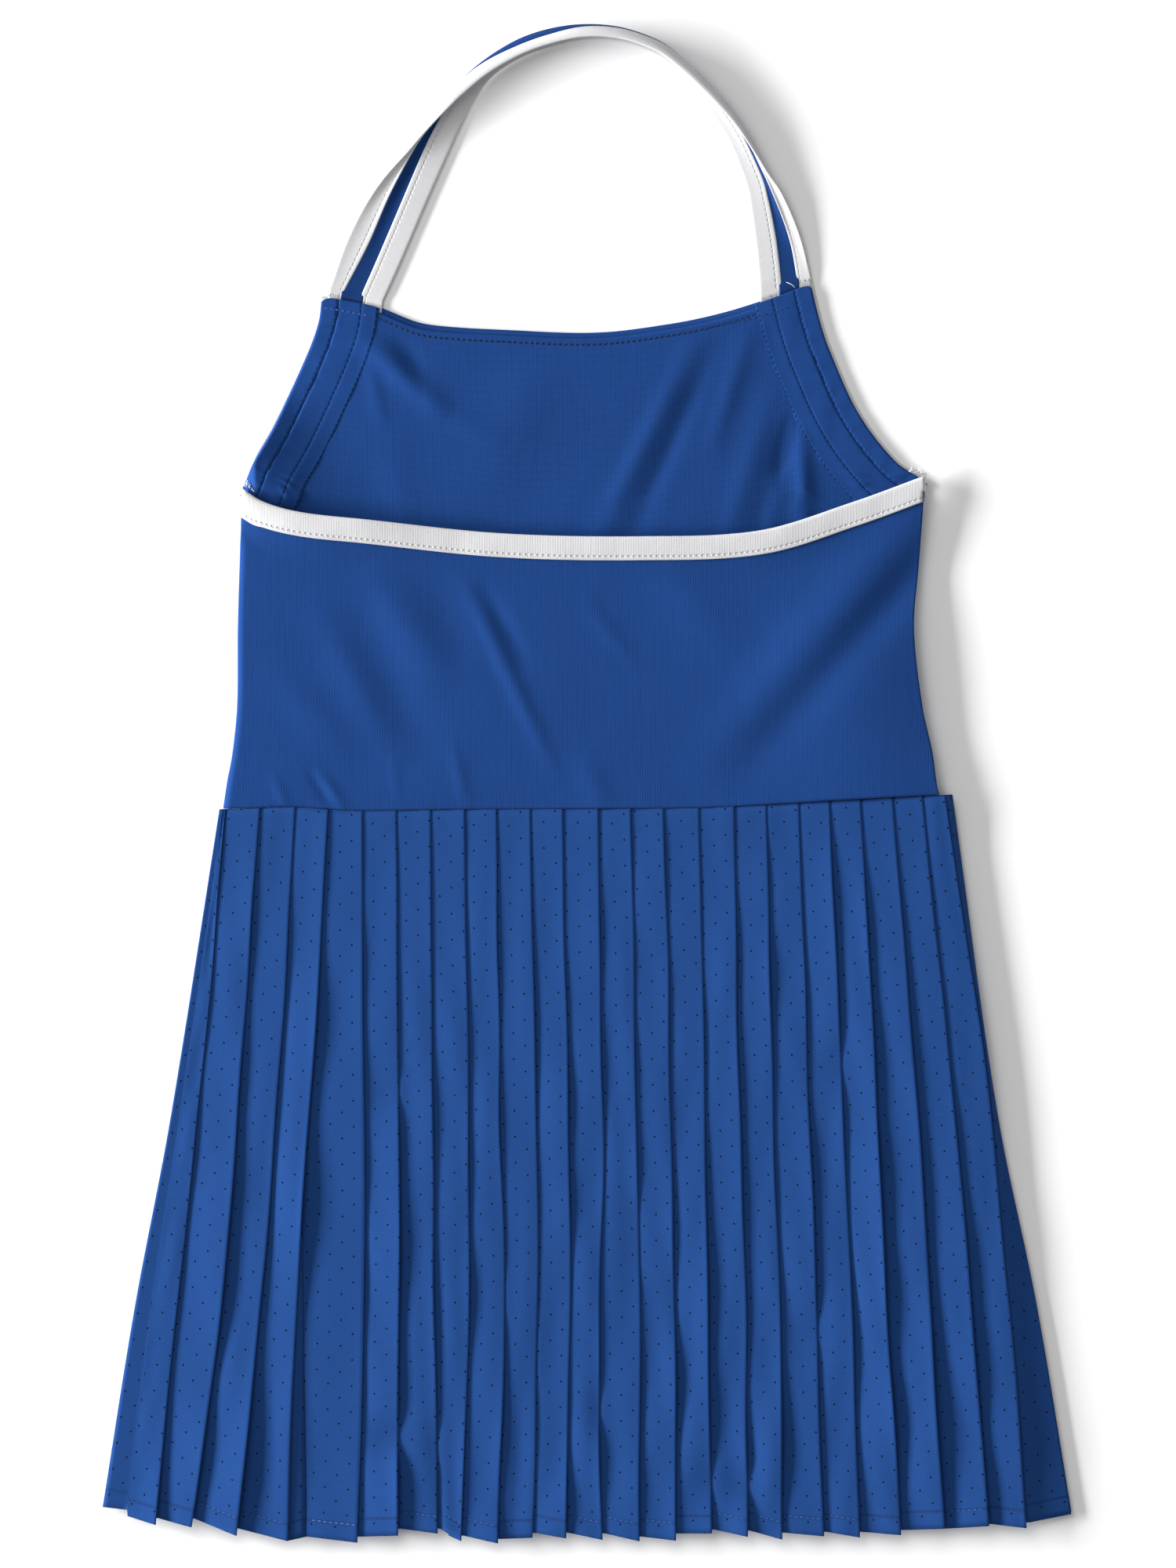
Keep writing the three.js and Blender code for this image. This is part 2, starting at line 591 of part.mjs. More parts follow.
// A strip of the strap between two seams, thinned at its edges so that neighbours meet with a small gap.
function strapStrip(fromKey, toKey, width, half) {
  const count = (strapRows.length - 1) * strapSteps;
  const sections = Array.from({ length: count + 1 }, (_, i) => {
    const section = strapSection(i / strapSteps);
    const from = section[fromKey];
    const to = section[toKey];
    const middle = bulged(from, to, width);
    const bend = (share) => {
      const first = { a: mix(from.a, middle.a, share), z: mix(from.z, middle.z, share) };
      const second = { a: mix(middle.a, to.a, share), z: mix(middle.z, to.z, share) };
      return { a: mix(first.a, second.a, share), z: mix(first.z, second.z, share) };
    };
    const trim = strapTrim / width;
    const shares = [trim, 0.18, 0.5, 0.82, 1 - trim];
    const points = shares.map((share, k) => {
      const isEdge = k === 0 || k === shares.length - 1;
      return { ...bend(share), half: isEdge ? edgeHalfWall : half };
    });
    const isEnd = i === 0 || i === count;
    const yAt = isEnd ? (x) => neckY(x) + seamGap : null;
    return { foot: section.foot, dx: section.dx, dy: section.dy, points, yAt };
  });
  return pathWall(sections);
}

function piece(name, geometry, finish) {
  const mesh = new Mesh(geometry, new MeshStandardMaterial(finish));
  mesh.name = name;
  return mesh;
}

const dress = new Group();
dress.add(piece("front_bodice", frontBodice(), bodiceKnit));
dress.add(piece("front_lining", frontLining(), bodiceKnit));
for (const side of ["left", "right"]) {
  dress.add(piece(`armhole_binding_${side}`, armholeBinding(side), whiteBinding));
  dress.add(piece(`armhole_facing_${side}`, armholeFacing(side), bodiceKnit));
  dress.add(piece(`armhole_band_${side}`, armholeBand(side), bodiceKnit));
}
dress.add(piece("back_bodice", backBodice(), bodiceKnit));
dress.add(piece("back_binding", backBinding(), whiteBinding));
dress.add(piece("skirt_front", skirtFront(), skirtCloth));
dress.add(piece("skirt_back", skirtBack(), skirtCloth));
dress.add(piece("strap_binding_outer", strapStrip("outer", "free", bindingWidth, bindingHalfWall), whiteBinding));
dress.add(piece("strap_web", strapStrip("inner", "outer", webWidth, halfWall), bodiceKnit));
dress.add(piece("strap_binding_inner", strapStrip("low", "inner", bindingWidth, bindingHalfWall), whiteBinding));

export default dress;
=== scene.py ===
import math

import bpy
import numpy as np
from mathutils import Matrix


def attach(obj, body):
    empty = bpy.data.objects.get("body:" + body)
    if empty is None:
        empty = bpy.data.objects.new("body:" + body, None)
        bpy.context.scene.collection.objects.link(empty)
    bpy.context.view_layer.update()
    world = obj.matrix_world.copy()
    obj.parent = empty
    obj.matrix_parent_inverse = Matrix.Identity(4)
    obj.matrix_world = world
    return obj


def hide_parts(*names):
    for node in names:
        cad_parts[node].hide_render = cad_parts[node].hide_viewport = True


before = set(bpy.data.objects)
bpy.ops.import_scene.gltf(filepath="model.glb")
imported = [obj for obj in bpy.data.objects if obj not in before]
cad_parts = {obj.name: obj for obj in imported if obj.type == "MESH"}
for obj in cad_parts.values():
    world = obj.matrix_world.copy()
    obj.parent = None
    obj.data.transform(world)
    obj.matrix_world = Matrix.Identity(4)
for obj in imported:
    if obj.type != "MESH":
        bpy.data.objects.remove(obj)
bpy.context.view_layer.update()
mm = 0.001  # every table below is in millimetres

# camera: straight above, the photograph's framing
cameraSettings = {
    "lens": 400, "sensor": 36, "viewHeight": 689.7, "aimX": 0.34, "aimY": -0.34, "aimZ": 5,
    "nearest": 0.1, "farthest": 4,
}


def makeCamera(s):
    # distance = view height x lens / sensor, so a long lens keeps the sides upright
    data = bpy.data.cameras.new("camera")
    data.lens = s["lens"]
    data.sensor_width = s["sensor"]
    distance = s["viewHeight"] * mm * s["lens"] / s["sensor"]
    data.clip_start = distance * s["nearest"]
    data.clip_end = distance * s["farthest"]
    camera = bpy.data.objects.new("camera", data)
    camera.location = (s["aimX"] * mm, s["aimY"] * mm, s["aimZ"] * mm + distance)
    bpy.context.scene.collection.objects.link(camera)
    bpy.context.scene.camera = camera


makeCamera(cameraSettings)
print("camera placed")


# shared shapes

def smoothThrough(knots, values, at):
    # cubic between each two knots, its slope at a knot taken from the knots on both sides
    knots = np.asarray(knots, float)
    values = np.asarray(values, float)
    count = len(knots)
    before = np.maximum(np.arange(count) - 1, 0)
    after = np.minimum(np.arange(count) + 1, count - 1)
    slopes = (values[after] - values[before]) / (knots[after] - knots[before])
    place = np.clip(at, knots[0], knots[-1])
    i = np.clip(np.searchsorted(knots, place, side="right") - 1, 0, count - 2)
    span = knots[i + 1] - knots[i]
    t = (place - knots[i]) / span
    start = values[i] * (1 + 2 * t) * (1 - t) ** 2 + slopes[i] * span * t * (1 - t) ** 2
    return start + values[i + 1] * t * t * (3 - 2 * t) + slopes[i + 1] * span * t * t * (t - 1)


def ease(share):
    # 3t^2 - 2t^3 on a share held between 0 and 1
    t = np.clip(share, 0, 1)
    return t * t * (3 - 2 * t)


def mix(a, b, share):
    # straight line from a to b
    return a + (b - a) * share


noiseWaves = 7
noiseStretch = (0.6, 1.7)  # how much shorter or longer than the scale its waves are


def softNoise(seed, x, y, scale):
    # sum of sine waves with seeded directions, lengths and phases, about -1 to 1
    rng = np.random.default_rng(seed)
    total = 0
    for _ in range(noiseWaves):
        angle = rng.uniform(0, np.pi)
        stretch = rng.uniform(*noiseStretch)
        phase = rng.uniform(0, 2 * np.pi)
        along = x * np.cos(angle) + y * np.sin(angle)
        total = total + np.sin(along * 2 * np.pi * stretch / scale + phase)
    return total / math.sqrt(noiseWaves)


def bell(distance, reach):
    # 1 on the line and falling away as exp(-(distance / reach)^2)
    return np.exp(-((distance / reach) ** 2))


def crowded(t, share):
    # shares from 0 to 1, part even and part closer together at both ends as half a cosine
    return (1 - share) * t + share * (0.5 - 0.5 * np.cos(np.pi * t))


def creaseHeight(rows, x, y):
    # each row is a ridge: a bell across the line, fading as a half sine towards its ends
    total = 0 * x
    for x0, y0, x1, y1, height, reach in rows:
        length = math.hypot(x1 - x0, y1 - y0)
        dx, dy = (x1 - x0) / length, (y1 - y0) / length
        share = ((x - x0) * dx + (y - y0) * dy) / length
        away = (x - x0) * dy - (y - y0) * dx
        fade = np.sin(np.pi * np.clip(share, 0, 1))
        total = total + height * fade * bell(away, reach)
    return total


def gridFaces(rows, columns, wrap=False):
    # one four-sided face between each two rows and columns
    index = np.arange(rows * columns).reshape(rows, columns)
    if wrap:
        index = np.concatenate([index, index[:, :1]], axis=1)
    corners = [index[:-1, :-1], index[:-1, 1:], index[1:, 1:], index[1:, :-1]]
    return np.stack(corners, axis=-1).reshape(-1, 4)


def addMesh(name, points, faces, uv=None):
    # points in millimetres, uv in metres, one for each point
    mesh = bpy.data.meshes.new(name)
    mesh.from_pydata((points * mm).tolist(), [], [list(f) for f in faces])
    if uv is not None:
        corners = np.concatenate([np.asarray(f) for f in faces])
        layer = mesh.uv_layers.new(name="cloth")
        layer.data.foreach_set("uv", (uv[corners] * mm).astype(np.float32).ravel())
    mesh.polygons.foreach_set("use_smooth", np.ones(len(mesh.polygons), bool))
    mesh.update()
    piece = bpy.data.objects.new(name, mesh)
    bpy.context.scene.collection.objects.link(piece)
    return piece


def surfaceNormals(points):
    # cross product of the grid's two directions
    down = np.gradient(points, axis=0)
    across = np.gradient(points, axis=1)
    normal = np.cross(across, down)
    return normal / np.maximum(np.linalg.norm(normal, axis=-1, keepdims=True), 1e-9)


def addSheet(name, points, uv, thickness):
    # one layer of cloth on a grid, given its thickness by Solidify about the middle; faces look up
    rows, columns = points.shape[:2]
    faces = gridFaces(rows, columns)
    if np.mean(surfaceNormals(points)[..., 2]) > 0:
        faces = faces[:, ::-1]
    piece = addMesh(name, points.reshape(-1, 3), faces, uv.reshape(-1, 2))
    wall = piece.modifiers.new("wall", "SOLIDIFY")
    wall.thickness = thickness * mm
    wall.offset = 0
    return piece


def addPillow(name, points, uv, half):
    # a flat closed tube round a grid of middles: each side moved out by half along the normal,
    # and half is nothing at the first and last columns, so the two long edges are round
    rows, columns = points.shape[:2]
    normal = surfaceNormals(points)
    upper = points + normal * half[..., None]
    lower = points - normal * half[..., None]
    ring = np.concatenate([upper, lower[:, -2:0:-1]], axis=1)
    ringUv = np.concatenate([uv, uv[:, -2:0:-1]], axis=1)
    count = ring.shape[1]
    faces = gridFaces(rows, count, wrap=True)
    first = np.arange(count)
    caps = []
    for start, turned in ((0, True), ((rows - 1) * count, False)):
        for c in range(columns - 1):
            opposite = (count - c) % count
            face = [first[c], first[c + 1], first[(count - c - 1) % count], first[opposite]]
            face = [int(f) + start for f in dict.fromkeys(face)]
            caps.append(face[::-1] if turned else face)
    if (ring[0, 1] - ring[0, -1]) @ np.cross(ring[0, 1] - ring[0, 0], ring[1, 0] - ring[0, 0]) < 0:
        faces = faces[:, ::-1]
        caps = [c[::-1] for c in caps]
    everyFace = [list(f) for f in faces.tolist()] + caps
    return addMesh(name, ring.reshape(-1, 3), everyFace, ringUv.reshape(-1, 2))


def pathLength(points):
    # running length along a path
    steps = np.linalg.norm(np.diff(points, axis=0), axis=-1)
    return np.concatenate([[0], np.cumsum(steps)])


def finishPiece(piece, node, material):
    # rides on the one body, stands for its node, and wears its finish
    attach(piece, "root")
    if node:
        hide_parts(node)
    piece.data.materials.append(material)


# the dress's outline

sides = {
    "y": [-11, 0, 13, 34, 68, 96, 124, 138],
    "left": [-160.2, -158.6, -156.2, -154.1, -153.8, -153, -152.2, -152.4],
    "right": [156.4, 153.8, 152, 147.5, 143.8, 145.9, 148, 149],
}
waist = {
    "x": [-163, -147, -129, -114, -98.6, -60, 0, 52, 91.7, 107.6, 156, 161],
    "y": [-11.3, -11, -10.3, -11.4, -12.1, -11.5, -11.2, -10.7, -8.6, -7.6, -5, -4.8],
}
neck = {
    "x": [-125, -109, -93, -75, -62, -38, 4, 38, 59, 77, 92, 106],
    "y": [215.6, 213.4, 210, 203, 201, 199.6, 198.3, 202.4, 206.9, 212.4, 217.9, 224],
}
backTop = {
    "x": [-154, -142.8, -125.9, -98.3, -37.6, 25, 76, 117, 150],
    "y": [131, 123.8, 119, 115.9, 109.7, 108.4, 111, 123.5, 135.6],
}
armholes = {
    "left": {
        "x": [-116.6, -118, -119.2, -124.2, -138.6, -148.2, -152, -160],
        "y": [226, 212, 203, 189, 158, 141, 131.5, 114],
    },
    "right": {
        "x": [97, 99.6, 103.4, 107.5, 120, 136, 149, 163],
        "y": [230, 218.6, 203.2, 191, 163.6, 142.6, 133.6, 120],
    },
}
underarm = {"left": -152.2, "right": 148.7}


def sideLeft(y):
    # the left side seam's x at a height up the dress
    return smoothThrough(sides["y"], sides["left"], y)


def sideRight(y):
    # the right side seam's x at a height up the dress
    return smoothThrough(sides["y"], sides["right"], y)


def waistY(x):
    # the waist seam's y across the dress
    return smoothThrough(waist["x"], waist["y"], x)


def neckY(x):
    # the neckline's y across the dress
    return smoothThrough(neck["x"], neck["y"], x)


def backTopY(x):
    # the back's top edge across the dress
    return smoothThrough(backTop["x"], backTop["y"], x)


railSamples = 1500  # points along an armhole before its strands are picked


def armholeStrand(side, inset, topDrop, lowEnd, count):
    # the armhole's edge moved square inwards, from just below the neckline to where lowEnd stops holding
    rail = armholes[side]
    knots = pathLength(np.stack([rail["x"], rail["y"]], axis=1))
    at = np.linspace(0, knots[-1], railSamples)
    x = smoothThrough(knots, rail["x"], at)
    y = smoothThrough(knots, rail["y"], at)
    tx, ty = np.gradient(x), np.gradient(y)
    length = np.hypot(tx, ty)
    inward = 1 if side == "left" else -1
    x, y = x - ty / length * inward * inset, y + tx / length * inward * inset
    inside = (y < neckY(x) - topDrop) & lowEnd(x, y)
    x, y = x[inside], y[inside]
    place = np.arange(len(x))
    pick = np.linspace(0, len(x) - 1, count)
    return np.stack([np.interp(pick, place, x), np.interp(pick, place, y)], axis=1)


def insideSides(x, y):
    # true inside both side seams
    return (x > sideLeft(y)) & (x < sideRight(y))


def aboveBack(drop):
    # true above the back's top edge, less a drop that the binding hides
    return lambda x, y: y > backTopY(x) - drop


# finishes

colours = {
    "knit": (0.0097, 0.0477, 0.195),
    "skirt": (0.0120, 0.0548, 0.210),
    # hole: near-black painted shade for the shaded cloth seen through each perforation
    "hole": (0.002, 0.006, 0.022),
    "binding": (0.60, 0.60, 0.612),
    "lavenderThread": (0.15, 0.20, 0.48),
    "blueThread": (0.004, 0.014, 0.055),
    "faintThread": (0.05, 0.10, 0.33),
    "whiteThread": (0.80, 0.79, 0.80),
}
needleHoles = {"pitch": 2.5, "width": 0.42, "length": 0.9, "core": 0.6, "rim": 1.3}
white = (1, 1, 1)


class Finish:
    # a material with one shader, and short ways to add the nodes that every cloth here uses
    def __init__(self, name, colour, roughness, sheen, sheenTint):
        self.material = bpy.data.materials.new(name)
        self.material.use_nodes = True
        self.material.diffuse_color = (*colour, 1)
        tree = self.material.node_tree
        self.nodes, self.links = tree.nodes, tree.links
        self.shader = self.nodes["Principled BSDF"]
        self.shader.inputs["Base Color"].default_value = (*colour, 1)
        self.shader.inputs["Roughness"].default_value = roughness
        self.shader.inputs["Sheen Weight"].default_value = sheen
        self.shader.inputs["Sheen Roughness"].default_value = 0.5
        self.shader.inputs["Sheen Tint"].default_value = (*sheenTint, 1)
        self.shader.inputs["Specular IOR Level"].default_value = 0.08
        uvMap = self.nodes.new("ShaderNodeUVMap")
        uvMap.uv_map = "cloth"
        self.uv = uvMap.outputs["UV"]
        self.place = self.nodes.new("ShaderNodeTexCoord").outputs["Object"]
        split = self.nodes.new("ShaderNodeSeparateXYZ")
        self.links.new(self.uv, split.inputs[0])
        self.u, self.v = split.outputs["X"], split.outputs["Y"]

    def math(self, operation, a, b=0.0):
        # one Math node on sockets or numbers
        node = self.nodes.new("ShaderNodeMath")
        node.operation = operation
        for socket, value in zip(node.inputs, (a, b)):
            if isinstance(value, (int, float)):
                socket.default_value = value
            else:
                self.links.new(value, socket)
        return node.outputs[0]

    def times(self, a, b):
        # a x b
        return self.math("MULTIPLY", a, b)

    def plus(self, a, b):
        # a + b
        return self.math("ADD", a, b)

    def wave(self, value, pitch):
        # sine of a length in metres, one turn each pitch in millimetres
        return self.math("SINE", self.times(value, 2 * math.pi / (pitch * mm)))

    def fromCell(self, value, pitch, shift=0.0):
        # distance from the middle of a cell, in shares of the cell, one cell each pitch
        cell = self.plus(self.math("DIVIDE", value, pitch * mm), shift)
        return self.math("SUBTRACT", self.math("FRACT", cell), 0.5)

    def distance(self, a, b):
        # square root of a^2 + b^2
        return self.math("SQRT", self.plus(self.times(a, a), self.times(b, b)))

    def noise(self, source, scale, stretch=(1, 1, 1), detail=3):
        # a Noise texture on a stretched coordinate
        mapping = self.nodes.new("ShaderNodeMapping")
        mapping.inputs["Scale"].default_value = stretch
        self.links.new(source, mapping.inputs["Vector"])
        node = self.nodes.new("ShaderNodeTexNoise")
        node.inputs["Scale"].default_value = scale
        node.inputs["Detail"].default_value = detail
        self.links.new(mapping.outputs[0], node.inputs["Vector"])
        return node.outputs["Fac"]

    def ramp(self, value, low, high, outLow=0.0, outHigh=1.0):
        # a smooth step from one range to another
        node = self.nodes.new("ShaderNodeMapRange")
        node.interpolation_type = "SMOOTHSTEP"
        self.links.new(value, node.inputs["Value"])
        for name, number in (("From Min", low), ("From Max", high), ("To Min", outLow), ("To Max", outHigh)):
            node.inputs[name].default_value = number
        return node.outputs["Result"]

    def blend(self, share, a, b):
        # a Mix Color node on colours or sockets
        node = self.nodes.new("ShaderNodeMix")
        node.data_type = "RGBA"
        self.links.new(share, node.inputs["Factor"])
        for key, value in (("A", a), ("B", b)):
            socket = [i for i in node.inputs if i.name == key and i.type == "RGBA"][0]
            if isinstance(value, tuple):
                socket.default_value = (*value, 1)
            else:
                self.links.new(value, socket)
        return [o for o in node.outputs if o.type == "RGBA"][0]

    def bump(self, height, distance, after=None):
        # a Bump node, its height in metres times distance
        node = self.nodes.new("ShaderNodeBump")
        node.inputs["Strength"].default_value = 1.0
        node.inputs["Distance"].default_value = distance
        self.links.new(height, node.inputs["Height"])
        if after:
            self.links.new(after, node.inputs["Normal"])
        return node.outputs["Normal"]

    def stitchHoles(self, rows):
        # a mask of the dimples where a needle went in, which knitFinish darkens with painted shade and sinks
        # by bump: a short ellipse each pitch along u, on each row's v
        s = needleHoles
        along = self.times(self.fromCell(self.u, s["pitch"]), s["pitch"] / s["length"])
        total = None
        for row in rows:
            across = self.math("DIVIDE", self.math("SUBTRACT", self.v, row * mm), s["width"] * mm)
            spot = self.ramp(self.distance(along, across), s["core"], s["rim"], 1.0, 0.0)
            total = spot if total is None else self.math("MAXIMUM", total, spot)
        return total

    def finished(self, base, normal):
        # links the last colour and normal to the shader
        self.links.new(base, self.shader.inputs["Base Color"])
        self.links.new(normal, self.shader.inputs["Normal"])
        return self.material


def tinted(colour, factor):
    # a colour made lighter or darker
    return tuple(channel * factor for channel in colour)


knitSettings = {
    "roughness": 0.9, "sheen": 0.05, "sheenTint": (0.55, 0.68, 1.0),
    "streaks": (900, 45, 1), "patches": 14.0, "shade": (0.3, 0.7), "dark": 0.93, "paleDark": 0.975,
    "wale": 0.5, "course": 0.4, "relief": 0.00003, "holeRelief": -0.00025, "holeShade": 0.25,
    "rows": {"pitch": 3.2, "bend": 14.0, "bendScale": 26.0, "light": 1.5},
}


def knitFinish(name, colour, rows=(), paintedHoleShade=0.45, courseShade=0.0):
    # fine knit: wales along v as irregular streaks, courses across them, slow changes of shade,
    # and wavering pale rows where courseShade is given
    s = knitSettings
    pale = colour[0] > 0.5
    f = Finish(name, colour, s["roughness"], s["sheen"], white if pale else s["sheenTint"])
    streaks = f.noise(f.uv, 1.0, s["streaks"], 4)
    patches = f.noise(f.place, s["patches"])
    shade = f.ramp(f.plus(f.times(streaks, 0.5), f.times(patches, 0.5)), *s["shade"])
    low = s["paleDark"] if pale else s["dark"]
    base = f.blend(shade, tinted(colour, low), tinted(colour, 2 - low))
    if courseShade:
        bands = s["rows"]
        bend = f.times(f.noise(f.place, bands["bendScale"], detail=2), bands["bend"])
        turns = f.plus(f.times(f.v, 2 * math.pi / (bands["pitch"] * mm)), bend)
        light = f.plus(f.times(f.math("SINE", turns), 0.5), 0.5)
        base = f.blend(f.times(light, courseShade), base, tinted(colour, bands["light"]))
    relief = f.plus(f.times(f.wave(f.u, s["wale"]), 0.6), f.times(f.wave(f.v, s["course"]), 0.3))
    relief = f.plus(relief, f.times(streaks, 1.6))
    normal = f.bump(relief, s["relief"])
    if rows:
        # painted shade: the needle dimples are painted darker, and the bump below also sinks them
        holes = f.stitchHoles(rows)
        base = f.blend(f.times(holes, paintedHoleShade), base, tinted(colour, s["holeShade"]))
        normal = f.bump(holes, s["holeRelief"], normal)
    return f.finished(base, normal)


perforation = {
    "roughness": 0.85, "sheen": 0.05, "sheenTint": (0.5, 0.65, 1.0), "pitch": (10.3, 11.4), "hole": 0.84,
    "edge": (0.85, 1.15), "halo": (1.1, 2.0), "haloShare": 0.16, "haloLight": 1.5, "holeRelief": -0.0003,
    "threads": (160, 2200, 1), "fibres": (1800, 240, 1), "patches": 11.0, "shade": (0.35, 0.7),
    "dark": 0.94, "relief": 0.00003,
    "hemLine": 7.5, "hem": (0.0002, 0.0010), "hemShare": 0.28, "hemPaintedShade": 0.4, "hemRelief": -0.0002,
}


def perforatedFinish(name, colour):
    # thin woven cloth with two staggered grids of round holes painted near-black as painted shade, and a
    # line at the hem's stitches sunk by bump and darkened by painted shade
    s = perforation
    f = Finish(name, colour, s["roughness"], s["sheen"], s["sheenTint"])
    pitchU, pitchV = s["pitch"]
    grids = []
    for shift in (0.0, 0.5):
        du = f.times(f.fromCell(f.u, pitchU, shift), pitchU * mm)
        dv = f.times(f.fromCell(f.v, pitchV, shift), pitchV * mm)
        grids.append(f.distance(du, dv))
    away = f.math("MINIMUM", *grids)
    radius = s["hole"] / 2 * mm
    hole = f.ramp(away, radius * s["edge"][0], radius * s["edge"][1], 1.0, 0.0)
    halo = f.ramp(away, radius * s["halo"][0], radius * s["halo"][1], 1.0, 0.0)
    threads = f.noise(f.uv, 1.0, s["threads"])
    fibres = f.noise(f.uv, 1.0, s["fibres"], 2)
    patches = f.noise(f.place, s["patches"])
    weave = f.plus(f.times(threads, 0.5), f.times(fibres, 0.3))
    shade = f.ramp(f.plus(weave, f.times(patches, 0.25)), *s["shade"])
    base = f.blend(shade, tinted(colour, s["dark"]), tinted(colour, 2 - s["dark"]))
    base = f.blend(f.times(halo, s["haloShare"]), base, tinted(colour, s["haloLight"]))
    # painted shade: the holes are painted near-black for what lies shaded beneath them
    base = f.blend(hole, base, colours["hole"])
    # painted shade: the hem's sunk stitch line is painted darker, and the bump also sinks it
    fromHem = f.math("ABSOLUTE", f.math("SUBTRACT", f.v, s["hemLine"] * mm))
    hem = f.ramp(fromHem, *s["hem"], 1.0, 0.0)
    base = f.blend(f.times(hem, s["hemShare"]), base, tinted(colour, s["hemPaintedShade"]))
    normal = f.bump(weave, s["relief"])
    normal = f.bump(hole, s["holeRelief"], normal)
    return f.finished(base, f.bump(hem, s["hemRelief"], normal))


threadSettings = {
    "roughness": 0.6, "sheen": 0.2, "twist": 2500.0, "dark": 0.85, "light": 1.12, "relief": 0.00005,
}


def threadFinish(name):
    # sewing thread in the colour of its own name, with a fine twist by noise
    s = threadSettings
    colour = colours[name]
    f = Finish(name, colour, s["roughness"], s["sheen"], white)
    twist = f.noise(f.place, s["twist"], detail=2)
    base = f.blend(twist, tinted(colour, s["dark"]), tinted(colour, s["light"]))
    return f.finished(base, f.bump(twist, s["relief"]))


# heights of each layer's middle above the surface, and cloth thickness

heights = {"front": 0.4, "lining": 1.45, "lowLining": 1.1, "rim": 1.4, "back": 4.4, "side": 1.8}
thickness = {"knit": 0.6, "layer": 0.3, "skirt": 0.24, "binding": 1.0}
waistGap = 0.15  # from the waist's line to each of the two edges that meet there


# front, its lining and the pieces beside the armholes

frontSettings = {
    "sideInset": 0.2, "strandInset": 8.0, "sideRows": 26, "strandRows": 44, "columns": 80,
    "topRise": 0.2, "topReach": 2.0,
    "sheet": {"flat": (0.315, 0.232), "area": 0.0600, "held": "laid"},
}
liningSettings = {
    "sideInset": 9.0, "strandInset": 5.0, "sideRows": 26, "strandRows": 70, "columns": 190,
    "drop": 2.4, "topStitch": 2.9, "groove": 0.12, "grooveReach": 1.0, "roll": 0.3, "rollReach": 0.8,
    "shade": 0.96, "courseShade": 0.12, "hidden": 14, "noise": 0.1, "noiseScale": 60, "topFade": 12,
    "swell": {"height": 1.5, "from": 30, "over": 60, "below": 30, "leftShift": 70},
    "dip": {"share": 0.92, "from": 0, "over": 8, "softens": 0.45},
    "corner": {"rise": 6.6, "width": 72, "power": 1.8, "top": 178, "slant": 45, "over": 40, "under": 4,
               "above": 6, "inside": 0.8, "within": 6},
    "sheet": {"flat": (0.300, 0.230), "area": 0.0590, "held": "laid", "rests_on": ["front_bodice"]},
    "creases": [
        [53, 206, -7, 84, 0.95, 5], [60, 200, 9, 86, -0.75, 4.2], [74, 206, 52, 140, 0.8, 5],
        [83, 178, 58, 96, 0.7, 5.5], [95, 172, 72, 96, -0.7, 5], [84, 140, 78, 92, 0.6, 4],
        [91, 164, 83, 132, -0.6, 3], [-102, 198, -60, 162, 1.8, 5.6], [-74, 166, -34, 150, 0.6, 6],
        [-84, 200, -70, 168, -0.7, 5], [-97, 188, -89, 154, 0.4, 3.4],
        [-88, 160, -78, 100, 0.35, 7], [-20, 190, -45, 120, 0.45, 12], [94, 158, 97, 90, 1.3, 3.4],
    ],
}


def panelEdge(side, s, topDrop, lowEnd):
    # up the side seam, then up a strand beside the armhole
    sideX = sideLeft if side == "left" else sideRight
    inward = 1 if side == "left" else -1
    strand = armholeStrand(side, s["strandInset"], topDrop, lowEnd, s["strandRows"])[::-1]
    start = waistY(sideX(0.0)) + waistGap
    y = np.linspace(start, strand[0, 1] - s["sideInset"] - 0.3, s["sideRows"])
    lower = np.stack([sideX(y) + inward * s["sideInset"], y], axis=1)
    return np.concatenate([lower, strand])


def bodicePanel(left, right, columns, topDrop):
    # straight rows between both edges, bent towards the neckline in the upper half
    u = np.linspace(0, 1, columns + 1)[None, :]
    top = left[-1, 1]
    share = np.clip((left[:, 1:2] - top / 2) / (top / 2), 0, 1) ** 2
    x = mix(left[:, :1], right[:, :1], u)
    topX = mix(left[-1, 0], right[-1, 0], u)
    dip = mix(left[-1, 1], right[-1, 1], u) - (neckY(topX) - topDrop)
    waistBend = waistY(x) + waistGap - mix(left[0, 1], right[0, 1], u)
    y = mix(left[:, 1:2], right[:, 1:2], u) + waistBend * (1 - share) - share * dip
    y[0] = waistY(x[0]) + waistGap
    return x, y


def makeFront():
    # flat on the surface, and a little higher along the neckline
    s = frontSettings
    left = panelEdge("left", s, 0, insideSides)
    right = panelEdge("right", s, 0, insideSides)
    x, y = bodicePanel(left, right, s["columns"], 0)
    fromTop = np.maximum(neckY(x) - y, 0)
    z = heights["front"] + s["topRise"] * bell(fromTop, s["topReach"])
    points = np.stack([x, y, z], axis=-1)
    piece = addSheet("frontBodice", points, np.stack([x, y], axis=-1), thickness["knit"])
    material = knitFinish("frontKnit", colours["knit"])
    finishPiece(piece, "front_bodice", material)


def insideLining(x, y):
    # above the part that the back hides, and inside both side seams
    inset = liningSettings["sideInset"]
    between = (x > sideLeft(y) + inset / 2) & (x < sideRight(y) - inset / 2)
    return aboveBack(liningSettings["hidden"])(x, y) & between


def armholeX(side, y):
    # the armhole edge's x at a height up the dress
    rail = armholes[side]
    return np.interp(y, rail["y"][::-1], rail["x"][::-1])


